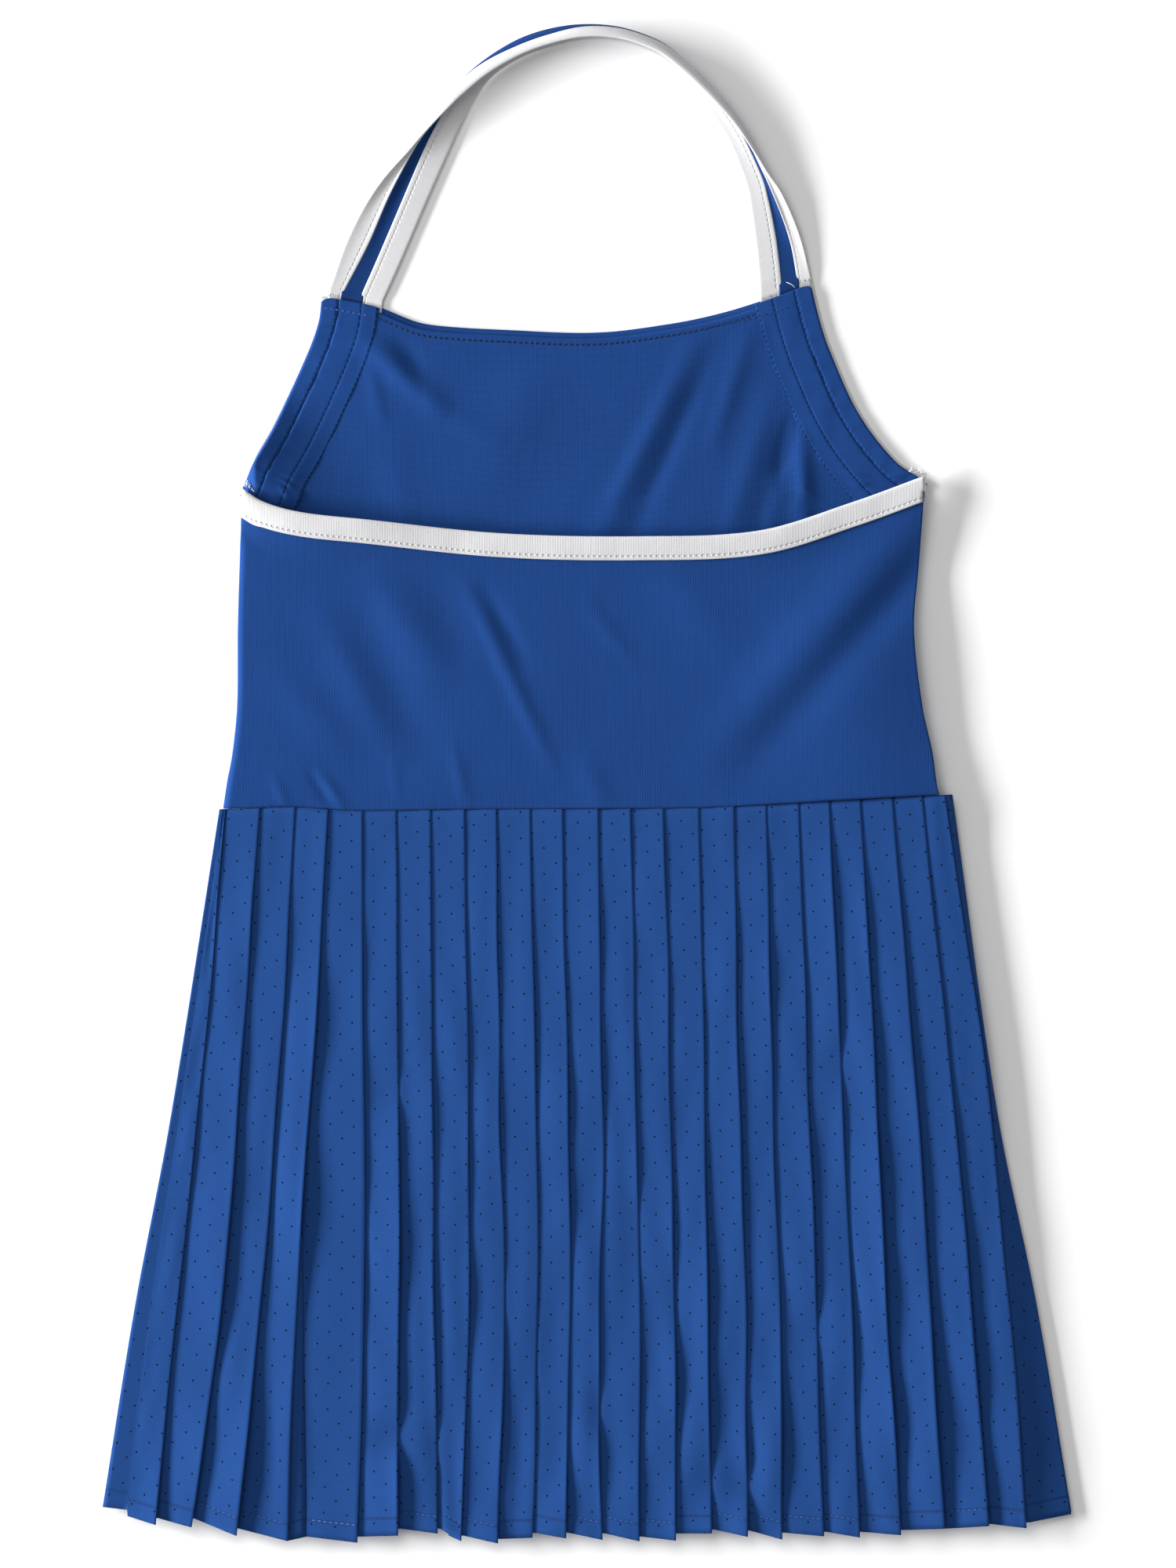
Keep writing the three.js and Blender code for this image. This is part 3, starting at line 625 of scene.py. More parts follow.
def cornerLift(x, y):
    # full at the armhole's edge and less with a power of the way across, only in its lower half,
    # from a line that slants down to the right; gone where the back hides it and at the side seam
    s = liningSettings["corner"]
    across = np.clip((x - armholeX("left", y)) / s["width"], 0, 1)
    down = ease((s["top"] - s["slant"] * across - y) / s["over"])
    down = down * ease((y - backTopY(x) + s["under"]) / s["above"])
    lift = s["rise"] * (1 - across) ** s["power"] * down
    return lift * ease((x - sideLeft(y) - s["inside"]) / s["within"])


def liningHeight(x, y):
    # level beside the armholes, swelling between them and dipping towards the back's top edge;
    # the left underarm's corner stands up and slopes down to the right
    s = liningSettings
    swell, dip = s["swell"], s["dip"]
    fromLeft = x - armholeX("left", y)
    inset = np.minimum(fromLeft + swell["leftShift"], armholeX("right", y) - x)
    fromTop = neckY(x) - s["drop"] - y
    z = heights["lining"] + swell["height"] * ease((inset - swell["from"]) / swell["over"]) * ease(
        fromTop / swell["below"])
    above = y - backTopY(x)
    dipped = dip["share"] * (1 - ease((above - dip["from"]) / dip["over"]))
    z = mix(z, heights["lowLining"], dipped)
    folds = creaseHeight(s["creases"], x, y) + s["noise"] * softNoise(11, x, y, s["noiseScale"])
    z = z + folds * ease(fromTop / s["topFade"]) * (1 - dip["softens"] * dipped)
    return np.maximum(z, heights["lowLining"]) + cornerLift(x, y)


def makeLining():
    # follows the lining's height, with a groove along the top stitches and a roll at the neckline
    s = liningSettings
    left = panelEdge("left", s, s["drop"], insideLining)
    right = panelEdge("right", s, s["drop"], insideLining)
    x, y = bodicePanel(left, right, s["columns"], s["drop"])
    fromTop = neckY(x) - s["drop"] - y
    stitched = bell(fromTop - s["topStitch"], s["grooveReach"])
    roll = bell(np.maximum(fromTop, 0), s["rollReach"])
    z = liningHeight(x, y) - s["groove"] * stitched - s["roll"] * roll
    points = np.stack([x, y, z], axis=-1)
    piece = addSheet("frontLining", points, np.stack([x, fromTop], axis=-1), thickness["layer"])
    colour = tinted(colours["knit"], s["shade"])
    material = knitFinish("liningKnit", colour, rows=[s["topStitch"]], courseShade=s["courseShade"])
    finishPiece(piece, "front_lining", material)


armholeSettings = {
    "rows": 120, "above": 0.35, "rimShows": 1.1, "seeds": {"left": 20, "right": 40}, "underBack": 4,
    "lines": {"inner": 8.6, "middle": 18.8, "outer": 25.8}, "topDrop": 0.4,
    "seamDip": 0.2, "seamReach": 0.5, "puckers": {"height": 0.06, "reach": 2.0, "uneven": 40},
    "binding": {
        "width": 10.3, "columns": 15, "topDrop": 0.2, "flatness": 12, "lift": 0.6, "stitchLine": 1.8,
        "sheet": {"flat": (0.0112, 0.110), "held": "laid"},
    },
    "facing": {
        "rollTo": 1.6, "flatFrom": 2.1, "flatTo": 7.45, "cornerDrop": 2.4, "cornerReach": 1.4, "pucker": 6.5,
        "noise": 0.08, "noiseScale": 14, "tuck": 0.09, "tuckPitch": 3.4, "tuckFrom": 0.68, "tuckOver": 0.3,
        "tuckUneven": 16, "stitchLine": 0.7,
        "sheet": {"flat": (0.0100, 0.097), "held": "laid", "rests_on": ["front_lining"]},
    },
    "band": {
        "columns": 34, "runsOn": 0.9, "pucker": 7.5, "stitchDip": 0.17, "stitchReach": 0.45,
        "fall": 0.15, "fallOver": 6, "edgeDip": 0.32, "edgeFrom": 0.2, "edgeOver": 1.1,
        "noise": 0.08, "noiseScale": 18, "tuck": 0.2, "tuckPitch": 5.5, "tuckFrom": 0.6, "tuckOver": 0.4,
        "tuckUneven": 20, "tuckReach": 4,
        "sheet": {"flat": (0.0175, 0.098), "held": "laid", "rests_on": ["front_lining"]},
    },
}


def armholeGrid(side, insets, topDrops, lowEnd):
    # strands at each inset, one beside the other: rows down the armhole, columns across the strip
    rows = armholeSettings["rows"]
    drops = np.broadcast_to(topDrops, len(insets))
    strands = [armholeStrand(side, inset, drop, lowEnd, rows) for inset, drop in zip(insets, drops)]
    return np.stack(strands, axis=1)


def stripUv(grid, insets):
    # u runs along the strip and v across it
    length = pathLength(grid[:, 0])
    return np.stack(np.broadcast_arrays(length[:, None], np.asarray(insets)[None, :]), axis=-1)


def seamPuckers(along, fromSeam, seed, pitch):
    # small waves along a seam, uneven in their spacing and fading away from it
    s = armholeSettings["puckers"]
    ripple = np.sin(2 * np.pi * along / pitch + 1.5 * softNoise(seed, along, 0, s["uneven"]))
    return s["height"] * ripple * bell(fromSeam, s["reach"])


def tucks(along, x, y, seed, s):
    # waves along a strip, uneven in their spacing
    return np.sin(2 * np.pi * along / s["tuckPitch"] + 2 * softNoise(seed, x, y, s["tuckUneven"]))


def makeArmholeBinding(side):
    # a flat tube inwards from the armhole's edge; across it the half wall is (1 - |share|^flatness)^0.5
    s = armholeSettings["binding"]
    insets = s["width"] * crowded(np.linspace(0, 1, s["columns"]), 1)
    plan = armholeGrid(side, insets, s["topDrop"], insideSides)
    middle = 0.5 * thickness["binding"]
    half = middle * (1 - np.abs(2 * insets / s["width"] - 1) ** s["flatness"]) ** 0.5
    points = np.dstack([plan, middle + s["lift"] * cornerLift(plan[..., 0], plan[..., 1])])
    half = np.broadcast_to(half, points.shape[:2])
    piece = addPillow(f"armholeBinding_{side}", points, stripUv(plan, insets), half)
    rows = [s["width"] - s["stitchLine"]]
    material = knitFinish(f"armholeWhite_{side}", colours["binding"], rows, 0.3)
    finishPiece(piece, f"armhole_binding_{side}", material)


def makeFacing(side):
    # rolls down to the binding at the armhole as a quarter circle, and sinks into the seam with the band;
    # its top corner is cut lower at the rim, by an exponential
    a = armholeSettings
    s, seed = a["facing"], a["seeds"][side]
    insets = np.concatenate([np.linspace(0, s["rollTo"], 7), np.linspace(s["flatFrom"], s["flatTo"], 12)])
    insets = insets + a["rimShows"]
    insets[-1] = a["lines"]["inner"] - 0.1
    topDrops = a["topDrop"] + s["cornerDrop"] * np.exp(-(insets - a["rimShows"]) / s["cornerReach"])
    plan = armholeGrid(side, insets, topDrops, aboveBack(a["underBack"]))
    uv = stripUv(plan, insets)
    x, y, along = plan[..., 0], plan[..., 1], uv[..., 0]
    roll = np.sqrt(1 - (1 - np.clip(insets - a["rimShows"], 0, 1)) ** 2)[None, :]
    toSeam = a["lines"]["inner"] - insets[None, :]
    z = mix(heights["rim"], liningHeight(x, y) + a["above"], roll)
    z = z - a["seamDip"] * bell(toSeam, a["seamReach"])
    z = z + seamPuckers(along, toSeam, seed, s["pucker"])
    z = z + s["noise"] * roll * softNoise(seed + 1, x, y, s["noiseScale"])
    low = ease((along / along[-1, 0] - s["tuckFrom"]) / s["tuckOver"])
    z = z + s["tuck"] * tucks(along, x, y, seed + 5, s) * roll * low
    piece = addSheet(f"armholeFacing_{side}", np.dstack([plan, z]), uv, thickness["layer"])
    rows = [a["lines"]["inner"] - s["stitchLine"]]
    material = knitFinish(f"facingKnit_{side}", colours["knit"], rows, 0.25)
    finishPiece(piece, f"armhole_facing_{side}", material)


def makeBand(side):
    # a strip with stitched valleys at its seam and its middle line, sinking at its outer edge,
    # and with tucks towards its low end
    a = armholeSettings
    lines = a["lines"]
    s, seed = a["band"], a["seeds"][side]
    insets = np.linspace(lines["inner"] + 0.1, lines["outer"] + s["runsOn"], s["columns"])
    plan = armholeGrid(side, insets, a["topDrop"], aboveBack(a["underBack"]))
    uv = stripUv(plan, insets)
    x, y, along = plan[..., 0], plan[..., 1], uv[..., 0]
    fromSeam, fromMiddle, fromOuter = (insets[None, :] - lines[key] for key in ("inner", "middle", "outer"))
    z = liningHeight(x, y) + a["above"]
    z = z - a["seamDip"] * bell(fromSeam, a["seamReach"])
    z = z - s["stitchDip"] * bell(fromMiddle, s["stitchReach"])
    z = z - s["fall"] * ease(fromMiddle / s["fallOver"])
    z = z - s["edgeDip"] * ease((fromOuter + s["edgeFrom"]) / s["edgeOver"])
    z = z + seamPuckers(along, fromSeam, seed + 2, s["pucker"])
    low = ease((along / along[-1, 0] - s["tuckFrom"]) / s["tuckOver"])
    z = z + s["tuck"] * (1 + tucks(along, x, y, seed + 3, s)) * low * bell(fromMiddle, s["tuckReach"])
    z = z + s["noise"] * softNoise(seed + 4, x, y, s["noiseScale"])
    piece = addSheet(f"armholeBand_{side}", np.dstack([plan, z]), uv, thickness["layer"])
    material = knitFinish(f"bandKnit_{side}", colours["knit"], [lines["middle"], lines["outer"]], 0.6)
    finishPiece(piece, f"armhole_band_{side}", material)


makeFront()
makeLining()
for side in ("left", "right"):
    makeArmholeBinding(side)
    makeFacing(side)
    makeBand(side)
print("front, lining and armhole strips made")


# back bodice and its binding

backSettings = {
    "rows": 110, "columns": 190, "crowdedAcross": 0.55, "crowdedDown": 0.25, "underBinding": 2.0,
    "nearEdges": {1: 0.15, 2: 0.5, -2: -0.06, -3: -0.2, -4: -0.4, -5: -0.9},
    "sideGap": 0.3, "waistStart": 0.1, "roll": {"left": 0.9, "right": 0.1},
    "edge": {"rise": 1.3, "leftRise": 1.6, "from": 96, "over": 18},
    "waistRise": 1.3, "waistReach": 26, "seamDip": 0.3, "seamReach": 0.4,
    "topRise": 2.0, "topReach": 22, "topFade": (80, 50), "topFadeTo": 0.5, "leftRise": 2.4,
    "leftTop": (-105, 50), "noise": 0.12, "noiseScale": 90, "puff": [118, 48, 34, 62, 2.3],
    "sheet": {"flat": (0.318, 0.130), "area": 0.0385, "held": "laid", "rests_on": ["front_lining"]},
    "creases": [
        [-56, 94, -12, 0, 0.85, 3.6], [-48, 90, -24, 48, -0.65, 3.8], [-97, 98, -60, 40, 1.0, 9],
        [-72, 96, -50, 50, -0.4, 8], [-123, 86, -82, 6, 0.75, 8], [-142, 54, -100, 8, 0.6, 8],
        [-104, 80, -66, 6, -0.6, 9], [-4, 84, 23, 49, 0.4, 4], [26, 102, 68, 56, 0.7, 12],
        [168, 144, 42, -3, 1.7, 12], [195, 152, 60, -5, -1.35, 9],
        [-124, 8, -110, -14, -0.4, 2.2], [-119, 7, -105, -14, 0.45, 2.4], [-86, 15, -83, -10, 0.25, 2],
        [-60, 20, -52, -14, 0.45, 3], [-3, 16, 9, -16, 0.5, 6], [-139, 6, -130, -16, 0.35, 2.6],
    ],
}
bindingSettings = {
    "width": 10.3, "stations": 260, "crowded": 0.4, "legPoints": 18, "legFrom": 0.12, "turnPoints": 7,
    "turn": 0.72, "wall": 0.5, "stitchLine": 1.8, "groove": 0.06, "grooveReach": 0.6, "plump": 0.12,
    "noise": 0.06, "noiseScale": 26, "paintedHoleShade": 0.12,
    "sheet": {"flat": (0.320, 0.0225), "held": "folded", "rests_on": ["back_bodice"]},
}


def backHeight(x, y):
    # level over the front, rolled down to it at the side seams as a quarter circle, and higher near
    # the waist and the top edge; the creases and a broad puff fade in the roll
    s, edge = backSettings, backSettings["edge"]
    fromLeft = (x - sideLeft(y) - s["sideGap"]) / s["roll"]["left"]
    fromRight = (sideRight(y) - x - s["sideGap"]) / s["roll"]["right"]
    roll = np.sqrt(1 - (1 - np.clip(np.minimum(fromLeft, fromRight), 0, 1)) ** 2)
    leftTop = 1 - ease((x - s["leftTop"][0]) / s["leftTop"][1])
    edgeRise = (edge["rise"] + edge["leftRise"] * leftTop) * ease((y - edge["from"]) / edge["over"])
    rise = s["waistRise"] * ease(1 - (y - waistY(x)) / s["waistReach"])
    farRight = ease((x - s["topFade"][0]) / s["topFade"][1])
    topRise = s["topRise"] * mix(1, s["topFadeTo"], farRight) + s["leftRise"] * leftTop
    rise = rise + topRise * ease(1 - (backTopY(x) - y) / s["topReach"])
    waves = creaseHeight(s["creases"], x, y) + s["noise"] * softNoise(5, x, y, s["noiseScale"])
    puffX, puffY, reachX, reachY, puffHeight = s["puff"]
    waves = waves + puffHeight * bell(x - puffX, reachX) * bell(y - puffY, reachY)
    return mix(heights["side"] + edgeRise, heights["back"] + rise + waves * roll, roll)


def makeBack():
    # columns from seam to seam, closer together near both, and rows from the waist up to the top edge,
    # closer together near the waist
    s = backSettings
    u = crowded(np.linspace(0, 1, s["columns"]), s["crowdedAcross"])[None, :]
    v = np.linspace(0, 1, s["rows"])[:, None]
    v = mix(v, v ** 2, s["crowdedDown"])
    topX = mix(underarm["left"] + s["sideGap"], underarm["right"] - s["sideGap"], u)
    topY = backTopY(topX) - s["underBinding"]
    guide = mix(waistY(topX), topY, v)
    x = mix(sideLeft(guide) + s["sideGap"], sideRight(guide) - s["sideGap"], u)
    for k, shift in s["nearEdges"].items():
        x[:, k] = x[:, 0 if k > 0 else -1] + shift
    y = mix(waistY(x) + s["waistStart"], topY, v)
    z = backHeight(x, y) - s["seamDip"] * bell(y - waistY(x), s["seamReach"])
    points = np.stack([x, y, z], axis=-1)
    piece = addSheet("backBodice", points, points[..., :2], thickness["knit"])
    material = knitFinish("backKnit", colours["knit"])
    finishPiece(piece, "back_bodice", material)


def makeBackBinding():
    # a U over the top edge: a leg under the panel, a half turn and a leg on top; measured down the dress
    # its width is the strip's own times the root of 1 + slope^2
    s = bindingSettings
    t = np.linspace(0, 1, s["stations"])
    x = mix(underarm["left"], underarm["right"], crowded(t, s["crowded"]))[:, None]
    y = backTopY(x)
    stretch = np.sqrt(1 + np.gradient(y[:, 0], x[:, 0])[:, None] ** 2)
    width = s["width"] * stretch
    leg = np.linspace(1, s["legFrom"], s["legPoints"]) * width[0]
    angles = np.linspace(-np.pi / 2, np.pi / 2, s["turnPoints"] + 2)[1:-1]
    inset = np.concatenate([leg, s["turn"] * (1 - np.cos(angles)), leg[::-1]])
    inset = inset[None, :] * width / width[0]
    flat = np.ones(s["legPoints"])
    lift = np.concatenate([-flat, np.sin(angles), flat])[None, :] * s["turn"]
    fromEdge = (width - inset) / stretch
    topLeg = (np.arange(inset.shape[1]) >= s["legPoints"] + s["turnPoints"] // 2)[None, :]
    groove = bell(fromEdge - s["stitchLine"], s["grooveReach"]) * topLeg
    plump = np.sin(np.pi * np.clip(inset / width, 0, 1)) * topLeg
    px = np.broadcast_to(x, inset.shape)
    py = y - inset
    pz = backHeight(px, py) + lift - s["groove"] * groove + s["plump"] * plump
    pz = pz + s["noise"] * topLeg * softNoise(9, px, py, s["noiseScale"])
    along = np.broadcast_to(pathLength(np.stack([x[:, 0], y[:, 0]], axis=1))[:, None], inset.shape)
    across = np.where(topLeg, fromEdge, 2 * s["width"] - fromEdge)
    points = np.stack([px, py, pz], axis=-1)
    piece = addSheet("backBinding", points, np.stack([along, across], axis=-1), s["wall"])
    material = knitFinish("backWhite", colours["binding"], [s["stitchLine"]], s["paintedHoleShade"])
    finishPiece(piece, "back_binding", material)


makeBack()
makeBackBinding()
print("back and its binding made")


# pleated skirt

# each fold's x at these shares of the way down, then the y of the hem where its panel starts and ends
foldShares = [0, 0.447, 0.71, 1]
folds = [
    [-162, -183.8, -199.1, -213.4, -318.4, -318.4],
    [-159.2, -171.7, -180.7, -190, -322.4, -326.1],
    [-144.1, -154.1, -161.7, -174.1, -323.3, -327.2],
    [-128.6, -136.9, -144.5, -154.5, -323.4, -330.9],
    [-114, -122.8, -128.6, -132.1, -327.9, -333.3],
    [-99, -98.6, -98.3, -101.4, -331.4, -334],
    [-84.1, -82.8, -82.8, -83.2, -331.4, -330.9],
    [-69, -67.9, -66.6, -66.6, -327.9, -330],
    [-54.1, -52.4, -51.7, -55.5, -327.9, -333.3],
    [-40, -37.9, -36.6, -39.3, -331, -334.3],
    [-25.2, -22.4, -21.4, -23.8, -332.4, -331.9],
    [-10.9, -8.3, -7.6, -9.3, -329.7, -332.1],
    [4.8, 6.9, 5.5, 6.6, -329.7, -332.8],
    [19, 22.1, 22.8, 22.8, -330, -333.4],
    [33.4, 36.9, 38.3, 39, -331.4, -333.1],
    [49, 52.1, 53.1, 54.8, -330, -330],
    [64.5, 67.2, 69.7, 70, -328.3, -331.4],
    [78.6, 82.4, 84.8, 86.2, -328.8, -332.6],
    [92.9, 97.9, 101.4, 103.4, -329.7, -331.2],
    [106.4, 112.8, 116.9, 119.3, -329.3, -331.7],
    [120, 128.3, 132.1, 138.3, -329.3, -330.7],
    [134.1, 145.9, 150.7, 156.9, -328.5, -327.9],
    [147.2, 162.1, 169.3, 176.6, -327.9, -326.7],
    [157.2, 178.3, 185.9, 193.4, -325.9, -327.6],
    [161, 181, 198, 213.4, -325.2, -321.6],
]
# how far each fold's edge stands above the next panel, at these shares of the way down
gapShares = [0, 0.25, 0.5, 0.75, 1]
foldGaps = [
    [0.2, 0.3, 0.5, 0.5, 1.4],
    [0.3, 0.7, 1.2, 1.0, 1.5],
    [0.2, 0.45, 0.6, 1.1, 1.9],
    [0.3, 0.8, 1.1, 1.0, 1.1],
    [0.2, 0.4, 0.5, 0.55, 0.9],
    [0.2, 0.4, 0.9, 1.1, 1.2],
    [0.2, 0.35, 0.5, 0.7, 0.5],
    [0.2, 0.4, 0.45, 0.5, 0.6],
    [0.2, 0.4, 0.45, 0.5, 1.1],
    [0.2, 0.4, 0.25, 0.3, 0.3],
    [0.2, 0.35, 0.6, 0.25, 0.9],
    [0.2, 0.5, 0.25, 0.55, 1.0],
    [0.2, 0.3, 0.4, 0.4, 0.8],
    [0.2, 0.4, 0.4, 0.7, 0.7],
    [0.2, 0.25, 0.5, 1.1, 0.6],
    [0.2, 0.5, 0.6, 0.5, 0.9],
    [0.2, 0.6, 0.35, 0.7, 1.0],
    [0.2, 0.4, 0.6, 0.6, 0.7],
    [0.2, 0.8, 0.4, 0.6, 0.8],
    [0.2, 0.8, 1.4, 1.5, 1.0],
    [0.2, 0.6, 0.9, 1.5, 1.3],
    [0.15, 0.3, 0.5, 1.1, 1.8],
    [0.1, 0.15, 0.3, 0.6, 0.9],
]
# places where the next panel bulges up and closes a fold: fold, share of the way down, half length
foldPinches = [
    [6, 0.387, 0.025], [6, 0.863, 0.03], [7, 0.88, 0.03], [12, 0.82, 0.03], [15, 0.93, 0.03],
    [16, 0.93, 0.025], [19, 0.36, 0.04], [18, 0.72, 0.03], [9, 0.66, 0.04], [13, 0.6, 0.04],
]
skirtSettings = {
    "rows": 86, "length": 320, "crowded": 0.3, "panelPoints": 10, "hiddenPoints": 3, "lastPoints": 16,
    "depth": 8.0, "depthLow": 0.8, "depthShare": 0.6, "depthRoom": 1.6,
    "base": 4.6, "gapLow": 0.2, "gapScaleUp": 1.7, "gapUneven": 0.3, "gapScale": 75, "pinched": 0.85,
    "convex": 0.9, "foldRadius": {"share": 0.25, "low": 0.06, "high": 0.3},
    "lift": 0.3, "liftScale": 80, "liftAcross": 40, "liftAtWaist": 0.3, "wander": 0.45, "wanderScale": 130,
    "hemTuck": 7.5,
    "seamDip": 0.25, "seamReach": 0.4, "waistRise": 0.9, "waistReach": 26,
    "side": {"inset": 0.3, "wall": 0.15, "top": 0.55, "fall": 0.25, "riser": 0.05, "hemFall": 1.2,
             "toRiser": 0.25, "shares": [0, 0.18, 0.447, 0.71, 1], "widths": [0.9, 2.6, 3.8, 7.0, 10.7]},
    "under": 0.9, "core": 1.2, "cornerRound": 1.9, "cornerReach": 2.4,
    "opened": {"fold": 4, "from": 0.45, "width": 8.6},
    "endFall": 0.8,
    "sheet": {"flat": (0.815, 0.326), "area": 0.235, "held": "folded", "rests_on": ["skirt_front"]},
    "frontSheet": {"flat": (0.800, 0.322), "area": 0.180, "held": "folded"},
}


def rowShares(count, tuck):
    # shares of the skirt's length, closer together at the waist and hem, with one on the hem's stitch line
    shares = crowded(np.linspace(0, 1, count - 1), skirtSettings["crowded"])
    return np.sort(np.append(shares, 1 - tuck / skirtSettings["length"]))


def column(values):
    # one value for each row, as a column
    return values[:, None]


def steps(count):
    # shares from just after 0 up to 1, as a row
    return (np.arange(1, count + 1) / count)[None, :]


def foldGap(i, share):
    # the table's height for a fold, made uneven by soft noise and closed at its pinches
    s = skirtSettings
    gap = s["gapScaleUp"] * smoothThrough(gapShares, foldGaps[i - 1], share)
    down = share * s["length"]
    gap = gap * (1 + s["gapUneven"] * softNoise(200 + i, down, 0 * down, s["gapScale"]))
    for fold, place, reach in foldPinches:
        if fold == i:
            gap = gap * (1 - s["pinched"] * bell(share - place, reach))
    return np.maximum(gap, s["gapLow"])


class Section:
    # the pleated section of every row, built from left to right, with u as the unfolded cloth's own length
    def __init__(self, share):
        self.rows = len(share)
        self.parts = []
        self.unfolded = np.zeros(self.rows)
        self.columns = 0

    def add(self, x, z, hemY, anchored=False):
        # an anchored run gives its last column one u on every row, so rows of holes follow the fold
        x = x + np.zeros((self.rows, 1))
        x, z, hemY = np.broadcast_arrays(x, z, hemY)
        last = self.parts[-1] if self.parts else [x[:, :1], z[:, :1]]
        fullX = np.concatenate([last[0][:, -1:], x], axis=1)
        fullZ = np.concatenate([last[1][:, -1:], z], axis=1)
        lengths = np.cumsum(np.hypot(np.diff(fullX, axis=1), np.diff(fullZ, axis=1)), axis=1)
        if anchored:
            fold = np.full(self.rows, self.unfolded[0] + lengths[0, -1])
            u = column(fold - lengths[:, -1]) + lengths
        else:
            fold = self.unfolded + lengths[:, -1]
            u = column(self.unfolded) + lengths
        self.unfolded = fold
        self.parts.append([x, z, hemY, u])
        self.columns += x.shape[1]

    def end(self):
        # the last column's x and z
        return self.parts[-1][0][:, -1], self.parts[-1][1][:, -1]

    def whole(self, k):
        # every column of x, z, hem y or u
        return np.concatenate([part[k] for part in self.parts], axis=1)


def addSide(section, xs, hem, share):
    # up a wall from the lower layer, then down a little to the right as far as the first panel's riser
    s, side = skirtSettings, skirtSettings["side"]
    left = column(xs[0]) + side["inset"]
    top = s["base"] + side["top"]
    rise = np.concatenate([[[0.0]], steps(5)], axis=1)
    wallZ = mix(heights["side"], top, np.sin(rise * np.pi / 2))
    section.add(left + side["wall"] * rise ** 3, wallZ, hem[0, 0])
    width = column(smoothThrough(side["shares"], side["widths"], share))
    press = column(ease(share * 6))
    t = steps(6)
    levelX = left + mix(side["wall"], width, t)
    section.add(levelX, top - side["fall"] * press * t, hem[0, 0] - side["hemFall"] * t)
    t = steps(3)
    riserZ = top - press * (side["fall"] - side["riser"] * t)
    section.add(left + width + side["toRiser"] * t, riserZ, mix(hem[0, 0] - side["hemFall"], hem[1, 0], t))


def seenLevel(i, startZ):
    # the height at which a panel comes out from under the fold above it
    return startZ if i == 1 else np.full(len(startZ), skirtSettings["base"])


def addPanel(section, i, xs, hem, gap, share):
    # flat as far as the fold above it, then a convex climb to its own fold
    s = skirtSettings
    startX, startZ = section.end()
    radius = foldRadius(gap)
    seen = np.maximum(xs[i - 1] + s["core"], startX + 0.05)
    crest = s["base"] + gap
    hidden = steps(s["hiddenPoints"])
    hiddenX = mix(column(startX), column(seen), hidden)
    hiddenZ = mix(column(startZ), column(seenLevel(i, startZ)), ease(hidden))
    startZ = seenLevel(i, startZ)
    firstColumn = section.columns + s["hiddenPoints"]
    t = crowded(steps(s["panelPoints"]), 0.5)
    climb = 1 - (1 - t) ** s["convex"]
    down = column(share) * s["length"]
    ripple = softNoise(300 + i, down, s["liftAcross"] * t, s["liftScale"]) * np.sin(np.pi * t)
    ripple = ripple * mix(s["liftAtWaist"], 1, column(share))
    z = mix(column(startZ), column(crest), climb) + s["lift"] * ripple
    x = mix(column(seen), column(xs[i] - radius), t)
    hemY = mix(hem[i, 0], hem[i, 1], t) + 0 * x
    section.add(np.concatenate([hiddenX, x], axis=1), np.concatenate([hiddenZ, z], axis=1),
                np.concatenate([hem[i, 0] + 0 * hiddenX, hemY], axis=1), anchored=True)
    return firstColumn, section.columns, i


def foldRadius(gap):
    # a quarter of the gap, between two limits
    radius = skirtSettings["foldRadius"]
    return np.clip(gap * radius["share"], radius["low"], radius["high"])


def addReturn(section, i, xs, hem, gap, share, depth):
    # the fold's round edge, the cloth that returns beneath it and the lower turn into the next panel
    s = skirtSettings
    radius = foldRadius(gap)
    crest = s["base"] + gap
    angle = np.pi / 2 - np.pi * steps(4)
    section.add(column(xs[i] - radius) + column(radius) * np.cos(angle),
                column(crest - radius) + column(radius) * np.sin(angle), hem[i, 1])
    nextHem = hem[i + 1, 0]
    opening = 0 * share
    if i == s["opened"]["fold"]:
        opening = s["opened"]["width"] * ease((share - s["opened"]["from"]) / (1 - s["opened"]["from"]))
    turn = ease(opening / 1.6)
    endX = mix(xs[i] - depth, xs[i] - radius + opening, turn)
    back = steps(3)
    low = s["base"] - s["under"] * (1 - turn)
    section.add(mix(column(xs[i] - radius), column(endX), back),
                mix(column(crest - 2 * radius), column(low), back), mix(hem[i, 1], nextHem, back))
    angle = np.pi / 2 + np.pi * steps(3)
    lower = column(radius * (1 - turn))
    section.add(column(endX) + lower * np.cos(angle), column(low) - lower + lower * np.sin(angle), nextHem)


